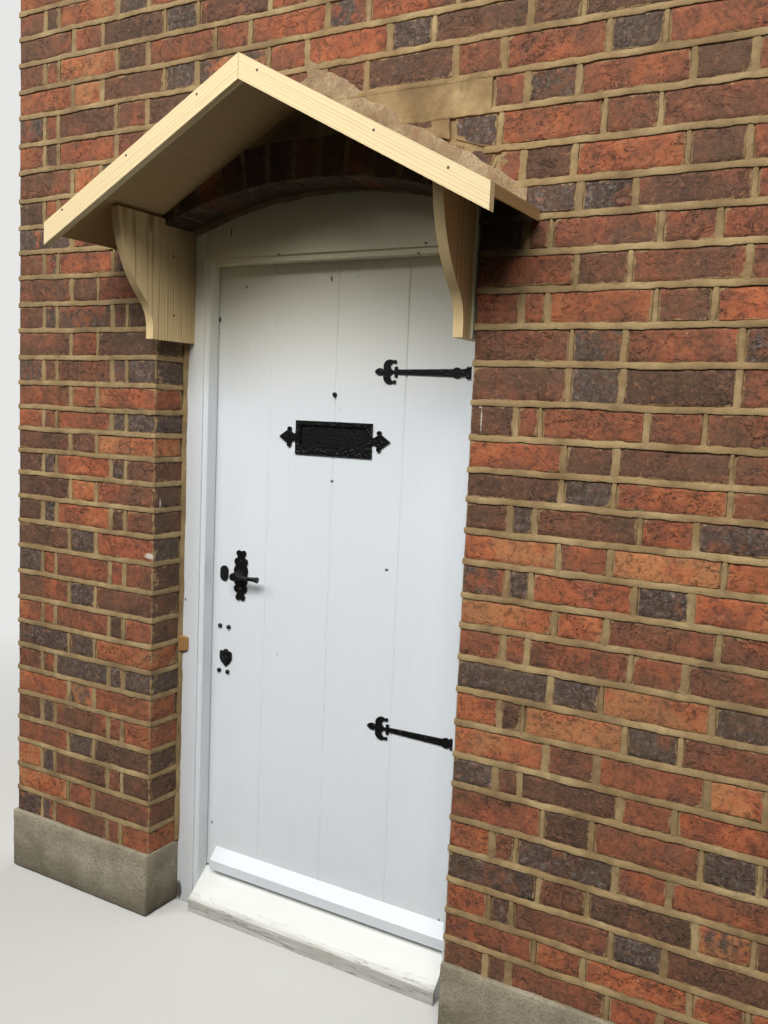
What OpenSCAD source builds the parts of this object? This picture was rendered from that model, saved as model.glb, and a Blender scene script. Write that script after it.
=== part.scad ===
/* [Wall] */
// Clear width of the doorway between the brick reveals
opening_w = 924; // [860:1:1000]
// Thickness of the solid brick wall
wall_t = 222; // [215:1:340]
// Width of the pier on the left, two and a half bricks
left_pier_w = 552; // [440:1:780]
// Width of the wall on the right, three and a half bricks
right_pier_w = 777; // [440:1:1000]
// Height of the whole stretch of wall
wall_h = 2609; // [2500:1:3200]
// Height of the rendered plinth
plinth_h = 183; // [120:1:220]
// How far the plinth stands out from the brick face
plinth_out = 8; // [3:1:25]

/* [Arch] */
// Height of the arch springing above the underside of the head
spring_up = 77; // [70:1:110]
// Rise of the segmental arch at its crown
arch_rise = 85; // [60:1:120]
// Height of the ring of half bricks
arch_depth = 105; // [95:1:115]

/* [Door frame] */
// Distance from the wall face back to the face of the frame
reveal_d = 123; // [100:1:130]
// Width of the face of the left jamb
jamb_w = 73; // [64:1:90]
// Width of the face of the right jamb
right_jamb_w = 57; // [50:1:70]
// Width of a jamb beside the edge of the door
frame_side = 41; // [35:1:45]
// Thickness of the stop that the door shuts against
stop_d = 43; // [30:1:50]
// How far the head laps over the top of the door
stop_lap = 15; // [12:1:20]
// Width of the step worked along the edge of the stop
step_w = 16; // [8:1:20]
// Depth of that step
step_d = 6; // [3:1:10]
// Height of the underside of the head
head_h = 1833; // [1780:1:2000]

/* [Sill] */
// How far the nose of the sill stands in front of the frame
nose_out = 34; // [20:1:60]
// Height of the nose
nose_h = 35; // [20:1:45]
// Height of the top of the sill under the door
sill_h = 106; // [90:1:115]

/* [Door] */
// Gap between the door and whatever it moves past
door_gap = 5; // [5:0.5:6]
// Gap at the latch edge, where the door swings through an arc
latch_gap = 8; // [8:0.5:9]
// Number of boards in the door
board_n = 4; // [4:1:4]
// Thickness of the boards
board_t = 25; // [22:1:28]
// Width of the bevel along each board edge
board_bevel = 3; // [1:0.5:5]
// Thickness of the ledges
ledge_t = 26; // [22:1:32]
// Height of a ledge
ledge_h = 100; // [80:1:130]
// Height of the middle of the bottom ledge above the foot of the door
low_ledge_up = 179; // [150:1:220]
// Distance of the middle of the top ledge below the top of the door
top_ledge_down = 183; // [150:1:220]
// Distance from the end of a ledge to the edge of the door
ledge_inset = 30; // [20:1:60]
// How far the weatherboard stands out from the door
drip_out = 30; // [20:1:36]
// Height of the front face of the weatherboard
drip_face_h = 27; // [15:1:35]
// Height of the slope on top of the weatherboard
drip_slope_h = 30; // [15:1:35]
// Distance of the left end of the weatherboard from the stop
drip_end = 33; // [20:1:50]

/* [Letter plate] */
// Width of the letter plate without its tips
plate_w = 237; // [225:1:260]
// Height of the letter plate
plate_h = 89; // [84:1:100]
// Distance of the middle of the letter plate below the top of the door
plate_down = 464; // [440:1:500]
// Thickness of the letter plate
plate_t = 5; // [4:0.5:7]
// Width of the window in the letter plate
window_w = 206; // [170:1:208]
// Height of the window
window_h = 54; // [40:1:56]
// How far the window lies above the middle of the plate
window_up = 6; // [4:1:7]

/* [Door furniture] */
// Distance of the lever's spindle from the left jamb
lever_in = 98; // [90:1:118]
// Height of the lever's spindle
lever_z = 983; // [960:1:1010]
// Length of the lever from its spindle
lever_l = 80; // [70:1:100]
// How far the lever stands off the door
lever_out = 32; // [30:1:50]
// Radius of the spindle
spindle_r = 4.5; // [4:0.5:6]
// Height of the handle plate
backplate_h = 142; // [130:1:160]
// Width of the handle plate
backplate_w = 48; // [42:1:54]
// Distance of the pin of the keyhole cover from the left jamb
key_in = 51; // [44:1:59]
// Height of the pin of the keyhole cover
key_z = 753; // [740:1:765]
// Width of the keyhole cover
cover_w = 44; // [36:1:48]
// Distance of the oval latch cover from the left jamb
latch_in = 39; // [31:1:44]
// Width of the latch cover
latch_w = 28; // [24:1:30]
// Height of the latch cover
latch_h = 43; // [36:1:50]
// Distance of the outer studs from the left jamb
stud_in = 28; // [23:1:34]
// Spacing of the studs from side to side
stud_w = 31; // [28:1:40]
// Distance of the lower studs below the pin of the keyhole cover
stud_down = 53; // [50:1:60]
// Spacing of the studs from bottom to top
stud_h = 130; // [125:1:150]
// Radius of a stud
stud_r = 6; // [4:0.5:8]
// Distance of the door viewer below the top of the door
viewer_down = 349; // [320:1:380]
// Radius of the door viewer
viewer_r = 6; // [4:0.5:9]
// Thickness of the plates and covers of the ironwork
front_t = 4; // [3:0.5:4.5]
// Distance of the tip of the upper hinge front from the right jamb
upper_tip_in = 286; // [270:1:305]
// Distance of the tip of the lower hinge front from the right jamb
lower_tip_in = 267; // [260:1:285]
// Distance of the upper hinge front below the top of the door
upper_front_down = 288; // [250:1:320]
// Height of the lower hinge front above the foot of the door
lower_front_up = 529; // [480:1:560]

/* [Hinges] */
// Radius of a hinge barrel
barrel_r = 6; // [5:0.5:7]
// Length of one barrel of a hinge
barrel_l = 30; // [24:1:32]
// Radius of the hinge pin
pin_r = 3; // [2.5:0.25:3.5]
// Thickness of the hinge plates
hinge_t = 3; // [2.5:0.5:4]
// Length of a hinge strap on the back of the door
strap_l = 250; // [180:1:320]

/* [Canopy] */
// Half of the width of the canopy
roof_half_w = 601; // [560:1:640]
// Height of the gable from its ends to its tip
gable_h = 316; // [280:1:340]
// How far the ends of the canopy lie below the arch springing
roof_drop = 24; // [10:1:40]
// How far the canopy stands out from the wall
roof_out = 254; // [230:1:330]
// Thickness of a barge board
barge_t = 20; // [16:1:25]
// Upright height of a barge board
barge_h = 54; // [45:1:65]
// Thickness of the roof panels
deck_t = 22; // [15:1:25]

/* [Brackets] */
// Thickness of a bracket
bracket_t = 24; // [18:1:28]
// Thickness of the painted strip that packs out the right bracket
packing_t = 5; // [3:1:8]
// How far a bracket reaches below the ends of the canopy
bracket_drop = 266; // [240:1:300]
// How far the foot of a bracket stands in front of the wall
foot_out = 39; // [20:1:60]
// Height of the straight part at the foot
foot_h = 26; // [15:1:40]
// Radius of the hollow curve
hollow_r = 105; // [90:1:120]
// Radius of the round curve above it
round_r = 330; // [280:1:360]
// Steepest lean of the curve
lean_a = 45; // [38:1:46]

/* [Hidden] */
$fn = 48;
arc_fn = 180;

// Gap between a piece and its curved seat
seat_gap = 0.3;
// Extra length that carries a cut clear through a face
cut = 1;
// Play between a pin and its hole
pin_play = 0.1;
// Gap round the spindle in the wood
hole_play = 1;

half_w = opening_w / 2;
wall_front = -reveal_d;
wall_back = wall_front + wall_t;
left_end = -half_w - left_pier_w;
right_end = half_w + right_pier_w;

spring_h = head_h + spring_up;
arch_crown = spring_h + arch_rise;
arch_r = (half_w * half_w + arch_rise * arch_rise) / (2 * arch_rise);
arch_z = arch_crown - arch_r;
arch_a = asin(half_w / arch_r);

left_stop = half_w - jamb_w;
right_stop = half_w - right_jamb_w;
rebate_x = half_w - frame_side;
door_y = stop_d + door_gap;
ledge_y = door_y + board_t;
door_back = ledge_y + ledge_t;
frame_d = door_back;
door_left = -rebate_x + latch_gap;
door_right = rebate_x - door_gap;
door_bottom = sill_h + door_gap;
door_top = head_h + stop_lap - door_gap;
board_w = (door_right - door_left) / board_n;
low_ledge_z = door_bottom + low_ledge_up;
top_ledge_z = door_top - top_ledge_down;

hinge_x = door_right + hinge_t;
hinge_y = frame_d + barrel_r;
// The hinge plate stops short of the brickwork
hinge_tip = half_w - 2 * hinge_t;

plate_z = door_top - plate_down;
window_z = plate_z + window_up;
flap_t = 3;
flap_pin_r = 1.5;
flap_lap = 4;
lug_t = 3;
lug_h = 7;
flap_w = window_w + 2 * flap_lap;
flap_pin_z = window_z + window_h / 2 + flap_t;
flap_bottom = window_z - window_h / 2 - flap_lap;
flap_y = door_y + seat_gap;
flap_pin_y = flap_y + flap_t;
slot_w = flap_w + 2 * (lug_t + 2 * cut);
slot_top = flap_pin_z + 2 * flap_t;
slot_bottom = flap_bottom - door_gap;
key_plate_t = 1.5;
key_pin_r = 2;
viewer_z = door_top - viewer_down;
upper_front_z = door_top - upper_front_down;
lower_front_z = door_bottom + lower_front_up;
lever_x = left_stop - lever_in;
key_x = left_stop - key_in;
latch_x = left_stop - latch_in;
stud_x = left_stop - stud_in;
upper_tip_x = right_stop - upper_tip_in;
lower_tip_x = right_stop - lower_tip_in;

roof_low = spring_h - roof_drop;
roof_top = roof_low + gable_h;
roof_slope = gable_h / roof_half_w;
roof_a = atan(roof_slope);
roof_front = wall_front - roof_out;
deck_front = roof_front + barge_t;
deck_plumb = deck_t / cos(roof_a);
bracket_z = roof_low - bracket_drop;

module block(x0, x1, y0, y1, z0, z1) {
    translate([x0, y0, z0])
        cube([x1 - x0, y1 - y0, z1 - z0]);
}

// Turns an outline drawn across X and Z into a slab from y0 to y1
module slab(y0, y1) {
    translate([0, y1, 0])
        rotate([90, 0, 0])
            linear_extrude(y1 - y0)
                children();
}

// Turns an outline drawn across Y and Z into a slab from x0 to x1
module side_slab(x0, x1) {
    translate([x0, 0, 0])
        rotate([90, 0, 90])
            linear_extrude(x1 - x0)
                children();
}

module rod(r, y0, y1) {
    translate([0, y1, 0])
        rotate([90, 0, 0])
            cylinder(r = r, h = y1 - y0);
}

// The solid under the arch line, used to shape the ring and the frame
module under_arch(r, y0, y1) {
    translate([0, y1, arch_z])
        rotate([90, 0, 0])
            cylinder(r = r, h = y1 - y0, $fn = arc_fn);
}

module arch_wedge(y0, y1) {
    reach = 2 * (arch_r + arch_depth);
    slab(y0, y1)
        polygon([
            [0, arch_z],
            [reach * sin(arch_a), arch_z + reach * cos(arch_a)],
            [-reach * sin(arch_a), arch_z + reach * cos(arch_a)]
        ]);
}

// Masonry

module plinth(x0, x1) {
    color("gray")
        block(x0, x1, wall_front - plinth_out, wall_back, 0, plinth_h);
}

module left_plinth() {
    plinth(left_end - plinth_out, -half_w);
}

module right_plinth() {
    plinth(half_w, right_end + plinth_out);
}

module left_pier() {
    color("firebrick")
        block(left_end, -half_w, wall_front, wall_back, plinth_h, spring_h);
}

module right_pier() {
    color("firebrick")
        block(half_w, right_end, wall_front, wall_back, plinth_h, spring_h);
}

module wall_over() {
    color("firebrick")
        difference() {
            block(left_end, right_end, wall_front, wall_back, spring_h, wall_h);
            intersection() {
                under_arch(arch_r + arch_depth + seat_gap, wall_front - cut, wall_back + cut);
                arch_wedge(wall_front - 2 * cut, wall_back + 2 * cut);
            }
        }
}

module brick_arch() {
    color("brown")
        intersection() {
            difference() {
                under_arch(arch_r + arch_depth, wall_front, wall_back);
                under_arch(arch_r, wall_front - cut, wall_back + cut);
            }
            arch_wedge(wall_front - cut, wall_back + cut);
        }
}

// Door frame

module jamb_outline(stop_x) {
    polygon([
        [half_w, 0],
        [stop_x + step_w, 0],
        [stop_x + step_w, step_d],
        [stop_x, step_d],
        [stop_x, stop_d],
        [rebate_x, stop_d],
        [rebate_x, frame_d],
        [half_w, frame_d]
    ]);
}

module jamb(stop_x) {
    color("white")
        intersection() {
            linear_extrude(arch_crown)
                jamb_outline(stop_x);
            under_arch(arch_r - seat_gap, -cut, frame_d + cut);
        }
}

module right_jamb() {
    jamb(right_stop);
}

module left_jamb() {
    mirror([1, 0, 0])
        jamb(left_stop);
}

module head_outline() {
    polygon([
        [0, arch_crown],
        [0, head_h + step_w],
        [step_d, head_h + step_w],
        [step_d, head_h],
        [stop_d, head_h],
        [stop_d, head_h + stop_lap],
        [frame_d, head_h + stop_lap],
        [frame_d, arch_crown]
    ]);
}

// Cuts the head back from the step so that it ends against the jamb
module head_end_cut(stop_x) {
    block(stop_x, half_w, step_d, frame_d + cut, head_h - cut, arch_crown + cut);
}

module frame_head() {
    color("white")
        intersection() {
            difference() {
                side_slab(-left_stop - step_w, right_stop + step_w)
                    head_outline();
                head_end_cut(right_stop);
                mirror([1, 0, 0])
                    head_end_cut(left_stop);
            }
            under_arch(arch_r - seat_gap, -cut, frame_d + cut);
        }
}

module door_sill() {
    color("white")
        side_slab(-left_stop, right_stop)
            polygon([
                [-nose_out, 0],
                [-nose_out, nose_h],
                [stop_d, sill_h],
                [frame_d, sill_h],
                [frame_d, 0]
            ]);
}

// Door leaf

module board_outline() {
    polygon([
        [0, board_bevel],
        [board_bevel, 0],
        [board_w - board_bevel, 0],
        [board_w, board_bevel],
        [board_w, board_t],
        [0, board_t]
    ]);
}

module letter_slot() {
    block(-slot_w / 2, slot_w / 2, door_y - cut, ledge_y + cut, slot_bottom, slot_top);
}

module spindle_hole(y0, y1, play) {
    translate([-lever_x, 0, lever_z])
        rod(spindle_r + play, y0 - cut, y1 + cut);
}

module door_board(i) {
    color("white")
        difference() {
            translate([door_left + (i - 1) * board_w, door_y, door_bottom])
                linear_extrude(door_top - door_bottom)
                    board_outline();
            if (i == 2 || i == 3)
                letter_slot();
            if (i == 1)
                spindle_hole(door_y, ledge_y, hole_play);
        }
}

module ledge(z) {
    block(door_left + ledge_inset, door_right - ledge_inset, ledge_y, door_back,
        z - ledge_h / 2, z + ledge_h / 2);
}

module bottom_ledge() {
    color("white")
        ledge(low_ledge_z);
}

module middle_ledge() {
    color("white")
        difference() {
            ledge(lever_z);
            spindle_hole(ledge_y, door_back, hole_play);
        }
}

module top_ledge() {
    color("white")
        ledge(top_ledge_z);
}

module weatherboard() {
    drip_z = door_bottom + door_gap;
    color("white")
        side_slab(-left_stop + drip_end, right_stop - door_gap)
            polygon([
                [door_y, drip_z],
                [door_y - drip_out, drip_z],
                [door_y - drip_out, drip_z + drip_face_h],
                [door_y, drip_z + drip_face_h + drip_slope_h]
            ]);
}

// Hinges on the back of the door

module barrel(z0, z1, r) {
    translate([hinge_x, hinge_y, z0])
        cylinder(r = r, h = z1 - z0);
}

module hinge_plate(z) {
    half = barrel_l / 2;
    end = half + barrel_l;
    for (side = [-1, 1]) {
        low = side < 0 ? z - end : z + half + seat_gap;
        high = side < 0 ? z - half - seat_gap : z + end;
        barrel(low, high, barrel_r);
        block(hinge_x, hinge_tip, frame_d, frame_d + hinge_t, low, high);
    }
    barrel(z - end, z + end, pin_r);
    block(hinge_x + barrel_r + cut, hinge_tip, frame_d, frame_d + hinge_t, z - end, z + end);
}

module hinge_plates() {
    color("dimgray")
        for (z = [low_ledge_z, top_ledge_z])
            hinge_plate(z);
}

module hinge_strap(z) {
    half = barrel_l / 2 - seat_gap;
    difference() {
        union() {
            barrel(z - half, z + half, barrel_r);
            block(hinge_x - strap_l, hinge_x, door_back, door_back + hinge_t, z - half, z + half);
        }
        barrel(z - half - cut, z + half + cut, pin_r + pin_play);
    }
}

module hinge_straps() {
    color("dimgray")
        for (z = [low_ledge_z, top_ledge_z])
            hinge_strap(z);
}

// Black ironwork

// A pointed leaf that starts at the origin, made where two circles overlap
module leaf(length, width) {
    r = (length * length + width * width) / (4 * width);
    translate([length / 2, 0])
        intersection() {
            translate([0, r - width / 2])
                circle(r = r);
            translate([0, width / 2 - r])
                circle(r = r);
        }
}

// One side petal above the middle line, curled back to an open hook
module petal() {
    curl_r = 17.5;
    inner_r = 9.5;
    curl_x = 42.5;
    inner_x = 54;
    curl_y = 13;
    bulb_r = 4.5;
    difference() {
        translate([curl_x, curl_y])
            circle(r = curl_r);
        translate([inner_x, curl_y])
            circle(r = inner_r);
        translate([inner_x, curl_y - inner_r])
            square(2 * inner_r);
    }
    translate([inner_x + bulb_r - cut, curl_y + curl_r - bulb_r - cut])
        circle(r = bulb_r);
}

// Outline of a hinge front from its tip at the origin towards the hinge
module hinge_front_outline() {
    leaf_l = 30;
    leaf_w = 17;
    stem = 3.5;
    collar_x = 57;
    collar_w = 8;
    collar_h = 26;
    strap_x = 229;
    thin = 5.5;
    thick = 9;
    knot_r = 13;
    flare_x = 250;
    end_x = 276;
    flare = 19;
    leaf(leaf_l, leaf_w);
    translate([leaf_l - 2 * stem, -stem])
        square([collar_x - leaf_l + 2 * stem, 2 * stem]);
    for (side = [0, 1])
        mirror([0, side])
            petal();
    translate([collar_x, -collar_h / 2])
        square([collar_w, collar_h]);
    polygon([
        [collar_x, -thin],
        [strap_x, -thick],
        [flare_x, -thick],
        [end_x, -flare],
        [end_x, flare],
        [flare_x, thick],
        [strap_x, thick],
        [collar_x, thin]
    ]);
    translate([strap_x, 0])
        circle(r = knot_r);
}

module hinge_front(tip_x, z) {
    color("black")
        translate([0, 0, z])
            slab(door_y - front_t, door_y)
                intersection() {
                    translate([tip_x, 0])
                        hinge_front_outline();
                    // Stops short of the frame
                    translate([0, -plate_h / 2])
                        square([right_stop - door_gap, plate_h]);
                }
}

module upper_hinge_front() {
    hinge_front(upper_tip_x, upper_front_z);
}

module lower_hinge_front() {
    hinge_front(lower_tip_x, lower_front_z);
}

// Spade-shaped tip of the letter plate, pointing along X from its edge
module spade() {
    neck = 9;
    waist_x = 8;
    curl_r = 6.5;
    curl_x = 21.5;
    curl_y = 20.5;
    tip_x = 54;
    polygon([
        [0, neck + cut],
        [waist_x, neck],
        [curl_x - curl_r, curl_y - curl_r],
        [curl_x + curl_r, curl_y - curl_r / 2],
        [tip_x, 0],
        [curl_x + curl_r, curl_r / 2 - curl_y],
        [curl_x - curl_r, curl_r - curl_y],
        [waist_x, -neck],
        [0, -neck - cut]
    ]);
    for (side = [-1, 1])
        translate([curl_x, side * curl_y])
            circle(r = curl_r);
}

module letter_plate_front() {
    difference() {
        translate([0, plate_z])
            union() {
                square([plate_w, plate_h], center = true);
                for (side = [0, 1])
                    mirror([side, 0])
                        translate([plate_w / 2 - cut, 0])
                            spade();
            }
        translate([0, window_z])
            square([window_w, window_h], center = true);
    }
}

module letter_plate() {
    color("black") {
        slab(door_y - plate_t, door_y)
            letter_plate_front();
        // The two lugs that carry the flap's pin
        for (side = [-1, 1])
            difference() {
                x = side * (flap_w / 2 + cut + lug_t / 2);
                block(x - lug_t / 2, x + lug_t / 2, door_y, flap_pin_y + lug_h / 2,
                    flap_pin_z - lug_h / 2, flap_pin_z + lug_h / 2);
                pin_across(flap_pin_r + pin_play, x - lug_t, x + lug_t);
            }
    }
}

// A pin along X on the flap's axis
module pin_across(r, x0, x1) {
    translate([x0, flap_pin_y, flap_pin_z])
        rotate([0, 90, 0])
            cylinder(r = r, h = x1 - x0);
}

module letter_flap() {
    color("black") {
        block(-flap_w / 2, flap_w / 2, flap_y, flap_y + flap_t, flap_bottom, flap_pin_z);
        pin_across(flap_t, -flap_w / 2, flap_w / 2);
        pin_across(flap_pin_r, -flap_w / 2 - lug_t - cut, flap_w / 2 + lug_t + cut);
    }
}

module handle_plate() {
    lobe_r = 8.5;
    lobe_x = 8;
    ear_r = 11;
    ear_z = 38;
    waist_z = 12;
    color("black")
        difference() {
            translate([-lever_x, 0, lever_z])
                slab(door_y - front_t, door_y)
                    for (side = [-1, 1]) {
                        translate([0, side * waist_z])
                            circle(r = backplate_w / 2);
                        for (x = [-1, 1]) {
                            translate([x * (backplate_w / 2 - ear_r - cut), side * ear_z])
                                circle(r = ear_r);
                            translate([x * lobe_x, side * (backplate_h / 2 - lobe_r)])
                                circle(r = lobe_r);
                        }
                        translate([-lobe_x - lobe_r / 2, side > 0 ? ear_z : lobe_r - backplate_h / 2])
                            square([2 * lobe_x + lobe_r, backplate_h / 2 - lobe_r - ear_z]);
                    }
            spindle_hole(door_y - front_t, door_y, pin_play);
        }
}

module grip(y) {
    root_r = 5;
    neck_r = 6;
    end_r = 8.5;
    knob_l = 16;
    translate([0, y, 0])
        rotate([0, 90, 0]) {
            cylinder(r1 = root_r, r2 = neck_r, h = lever_l - knob_l);
            translate([0, 0, lever_l - knob_l])
                cylinder(r1 = neck_r, r2 = end_r, h = knob_l);
        }
}

// A boss that narrows from the plate towards the lever
module boss(y0, y1, r0, r1) {
    translate([0, y1, 0])
        rotate([90, 0, 0])
            cylinder(r1 = r1, r2 = r0, h = y1 - y0);
}

module lever_handle() {
    boss_r = 16;
    boss_end_r = 11;
    boss_gap = 2;
    boss_end = 7;
    outer_y = door_y - lever_out;
    inner_y = door_back + lever_out;
    color("black")
        translate([-lever_x, 0, lever_z]) {
            rod(spindle_r, outer_y, inner_y);
            boss(outer_y - boss_end, door_y - front_t - boss_gap, boss_end_r, boss_r);
            boss(door_back + boss_gap, inner_y + boss_end, boss_r, boss_end_r);
            grip(outer_y);
            grip(inner_y);
        }
}

module latch_cover() {
    color("black")
        translate([-latch_x, 0, lever_z])
            slab(door_y - front_t, door_y) {
                square([latch_w, latch_h - latch_w], center = true);
                for (side = [-1, 1])
                    translate([0, side * (latch_h - latch_w) / 2])
                        circle(r = latch_w / 2);
            }
}

module keyhole_plate() {
    plate_r = 12;
    head_r = 4;
    head_y = door_y - front_t - cut;
    color("black")
        translate([-key_x, 0, key_z]) {
            slab(door_y - key_plate_t, door_y) {
                circle(r = plate_r);
                translate([-plate_r, -plate_r])
                    square([2 * plate_r, plate_r]);
            }
            rod(key_pin_r, head_y - cut, door_y);
            rod(head_r, head_y - cut, head_y);
        }
}

// A shield hung from its pin over the keyhole
module keyhole_cover() {
    shoulder = 7;
    side_h = 19;
    point_h = 27;
    side_r = (cover_w * cover_w / 4 + point_h * point_h) / cover_w;
    color("black")
        translate([-key_x, 0, key_z])
            difference() {
                slab(door_y - front_t, door_y - key_plate_t - seat_gap) {
                    translate([-cover_w / 2, shoulder - side_h])
                        square([cover_w, side_h]);
                    intersection() {
                        for (side = [-1, 1])
                            translate([side * (side_r - cover_w / 2), shoulder - side_h])
                                circle(r = side_r);
                        translate([-cover_w / 2, shoulder - side_h - point_h])
                            square([cover_w, point_h]);
                    }
                }
                rod(key_pin_r + pin_play, door_y - 2 * front_t, door_y);
            }
}

module door_studs() {
    color("black")
        for (x = [0, stud_w], z = [0, stud_h])
            translate([x - stud_x, 0, z + key_z - stud_down])
                rod(stud_r, door_y - front_t, door_y);
}

module door_viewer() {
    color("black")
        translate([0, 0, viewer_z])
            rod(viewer_r, door_y - front_t, door_y);
}

// Canopy

// Upright strip that follows the right slope, from top down by drop
module slope_strip(drop_top, drop_bottom) {
    polygon([
        [0, roof_top - drop_top],
        [roof_half_w, roof_low - drop_top],
        [roof_half_w, roof_low - drop_bottom],
        [0, roof_top - drop_bottom]
    ]);
}

module right_barge_board() {
    color("wheat")
        slab(roof_front, deck_front)
            slope_strip(0, barge_h);
}

module left_barge_board() {
    mirror([1, 0, 0])
        right_barge_board();
}

module right_roof_panel() {
    color("burlywood")
        slab(deck_front, wall_front)
            slope_strip(0, deck_plumb);
}

module left_roof_panel() {
    mirror([1, 0, 0])
        right_roof_panel();
}

// Front curve of a bracket, from the foot upwards
function bracket_front() = let (
    y0 = wall_front - foot_out,
    z0 = bracket_z + foot_h,
    y1 = y0 - hollow_r * (1 - cos(lean_a)),
    z1 = z0 + hollow_r * sin(lean_a),
    steps = 12
) concat(
    [[y0, bracket_z]],
    [for (i = [0:steps]) let (a = lean_a * i / steps)
        [y0 - hollow_r * (1 - cos(a)), z0 + hollow_r * sin(a)]],
    [for (i = [1:steps]) let (a = lean_a * (1 - i / steps))
        [y1 - round_r * (cos(a) - cos(lean_a)), z1 + round_r * (sin(lean_a) - sin(a))]],
    [[y1 - round_r * (1 - cos(lean_a)), roof_top]]
);

// Bracket on the right with its outer face at outer_x, cut level where that face meets the roof panel
module bracket(outer_x) {
    top_z = roof_low + roof_slope * (roof_half_w - outer_x) - deck_plumb - seat_gap;
    color("wheat")
        difference() {
            side_slab(outer_x - bracket_t, outer_x)
                polygon(concat([[0, bracket_z]], bracket_front(), [[0, roof_top]]));
            block(0, half_w + cut, roof_front, cut, top_z, roof_top + cut);
            // The brick arch over the part inside the reveal
            difference() {
                block(0, half_w + cut, wall_front, cut, spring_h - arch_rise, roof_top);
                under_arch(arch_r - seat_gap, wall_front - cut, 2 * cut);
            }
        }
}

module right_bracket() {
    bracket(half_w - packing_t);
}

module left_bracket() {
    mirror([1, 0, 0])
        bracket(half_w);
}

module packing_strip() {
    color("white")
        block(half_w - packing_t, half_w, wall_front, 0, bracket_z, spring_h);
}

left_plinth();
right_plinth();
left_pier();
right_pier();
wall_over();
brick_arch();
left_jamb();
right_jamb();
frame_head();
door_sill();
door_board(1);  // door_board_1
door_board(2);  // door_board_2
door_board(3);  // door_board_3
door_board(4);  // door_board_4
bottom_ledge();
middle_ledge();
top_ledge();
weatherboard();
hinge_plates();
hinge_straps();
upper_hinge_front();
lower_hinge_front();
letter_plate();
letter_flap();
handle_plate();
lever_handle();
latch_cover();
keyhole_plate();
keyhole_cover();
door_studs();
door_viewer();
left_roof_panel();
right_roof_panel();
left_barge_board();
right_barge_board();
left_bracket();
right_bracket();
packing_strip();
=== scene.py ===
import math
import random
from functools import reduce
from itertools import product

import bmesh
import bpy
from mathutils import Matrix, Vector, noise


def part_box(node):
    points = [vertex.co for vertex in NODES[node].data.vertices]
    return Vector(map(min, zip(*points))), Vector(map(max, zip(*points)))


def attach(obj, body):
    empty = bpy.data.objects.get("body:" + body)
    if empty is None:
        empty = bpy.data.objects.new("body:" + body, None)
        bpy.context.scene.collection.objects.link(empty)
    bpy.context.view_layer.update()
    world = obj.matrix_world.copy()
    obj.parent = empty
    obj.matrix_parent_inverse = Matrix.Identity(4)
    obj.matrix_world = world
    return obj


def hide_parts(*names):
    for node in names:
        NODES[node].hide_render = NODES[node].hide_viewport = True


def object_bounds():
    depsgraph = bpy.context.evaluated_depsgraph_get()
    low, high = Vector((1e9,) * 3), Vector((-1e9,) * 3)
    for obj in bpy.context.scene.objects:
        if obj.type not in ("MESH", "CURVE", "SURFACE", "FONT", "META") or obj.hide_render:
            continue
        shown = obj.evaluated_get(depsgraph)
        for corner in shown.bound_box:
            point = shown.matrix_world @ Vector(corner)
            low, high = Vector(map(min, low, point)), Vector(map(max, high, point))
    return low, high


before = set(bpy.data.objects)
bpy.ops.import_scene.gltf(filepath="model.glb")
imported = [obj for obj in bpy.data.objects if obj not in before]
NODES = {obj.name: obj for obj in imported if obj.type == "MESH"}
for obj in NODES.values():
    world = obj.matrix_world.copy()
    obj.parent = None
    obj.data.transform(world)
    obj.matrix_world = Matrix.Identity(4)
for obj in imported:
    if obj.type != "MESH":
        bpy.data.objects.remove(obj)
cad_lo, cad_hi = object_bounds()

# Sizes in metres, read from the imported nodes
lo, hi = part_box("left_pier")
LEFT_END, SPRING = lo.x, hi.z
lo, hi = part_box("right_pier")
HALF, RIGHT_END = lo.x, hi.x
lo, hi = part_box("wall_over")
FRONT, BACK, TOP = lo.y, hi.y, hi.z
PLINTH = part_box("left_plinth")[1].z
RING = 0.105  # height of the ring of half bricks
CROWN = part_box("brick_arch")[1].z - RING
ARCH_R = (HALF ** 2 + (CROWN - SPRING) ** 2) / (2 * (CROWN - SPRING))
ARCH_Z = CROWN - ARCH_R
ARCH_A = math.asin(HALF / ARCH_R)
RING_R = ARCH_R + RING
lo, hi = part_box("right_barge_board")
ROOF_TOP, BARGE_FRONT = hi.z, lo.y
ROOF_SLOPE = 0.316 / hi.x  # fall of the canopy's top edge
DOOR_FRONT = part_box("door_board_1")[0].y

# Brickwork
COURSES = 33
PIER_COURSES = 23  # courses below the springing of the arch
GAUGE = (TOP - PLINTH) / COURSES  # one course with its bed
JOINT = 0.010
INSET = 0.0032  # brick faces behind the proudest mortar
CORE = 0.0075  # mortar core behind the wall's surface
STRETCHER, HEADER, CLOSER, LEAF = 0.215, 0.102, 0.046, 0.1025
DEEP = 0.013  # how far joints reach in behind the wall's surface
LONG = 0.16  # a brick longer than this is no header
PATCH, PATCH_TOP = 0.36, 27  # half width and top bed of the mortar fill over the crown


# Materials
def srgb(r, g, b):
    """Linear colour from 0-255 display values."""
    parts = (r / 255, g / 255, b / 255)
    return [v / 12.92 if v <= 0.04045 else ((v + 0.055) / 1.055) ** 2.4 for v in parts]


def shade(colour, factor):
    """A display colour made lighter or darker, as a linear one."""
    return [c * factor for c in srgb(*colour)]


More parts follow.
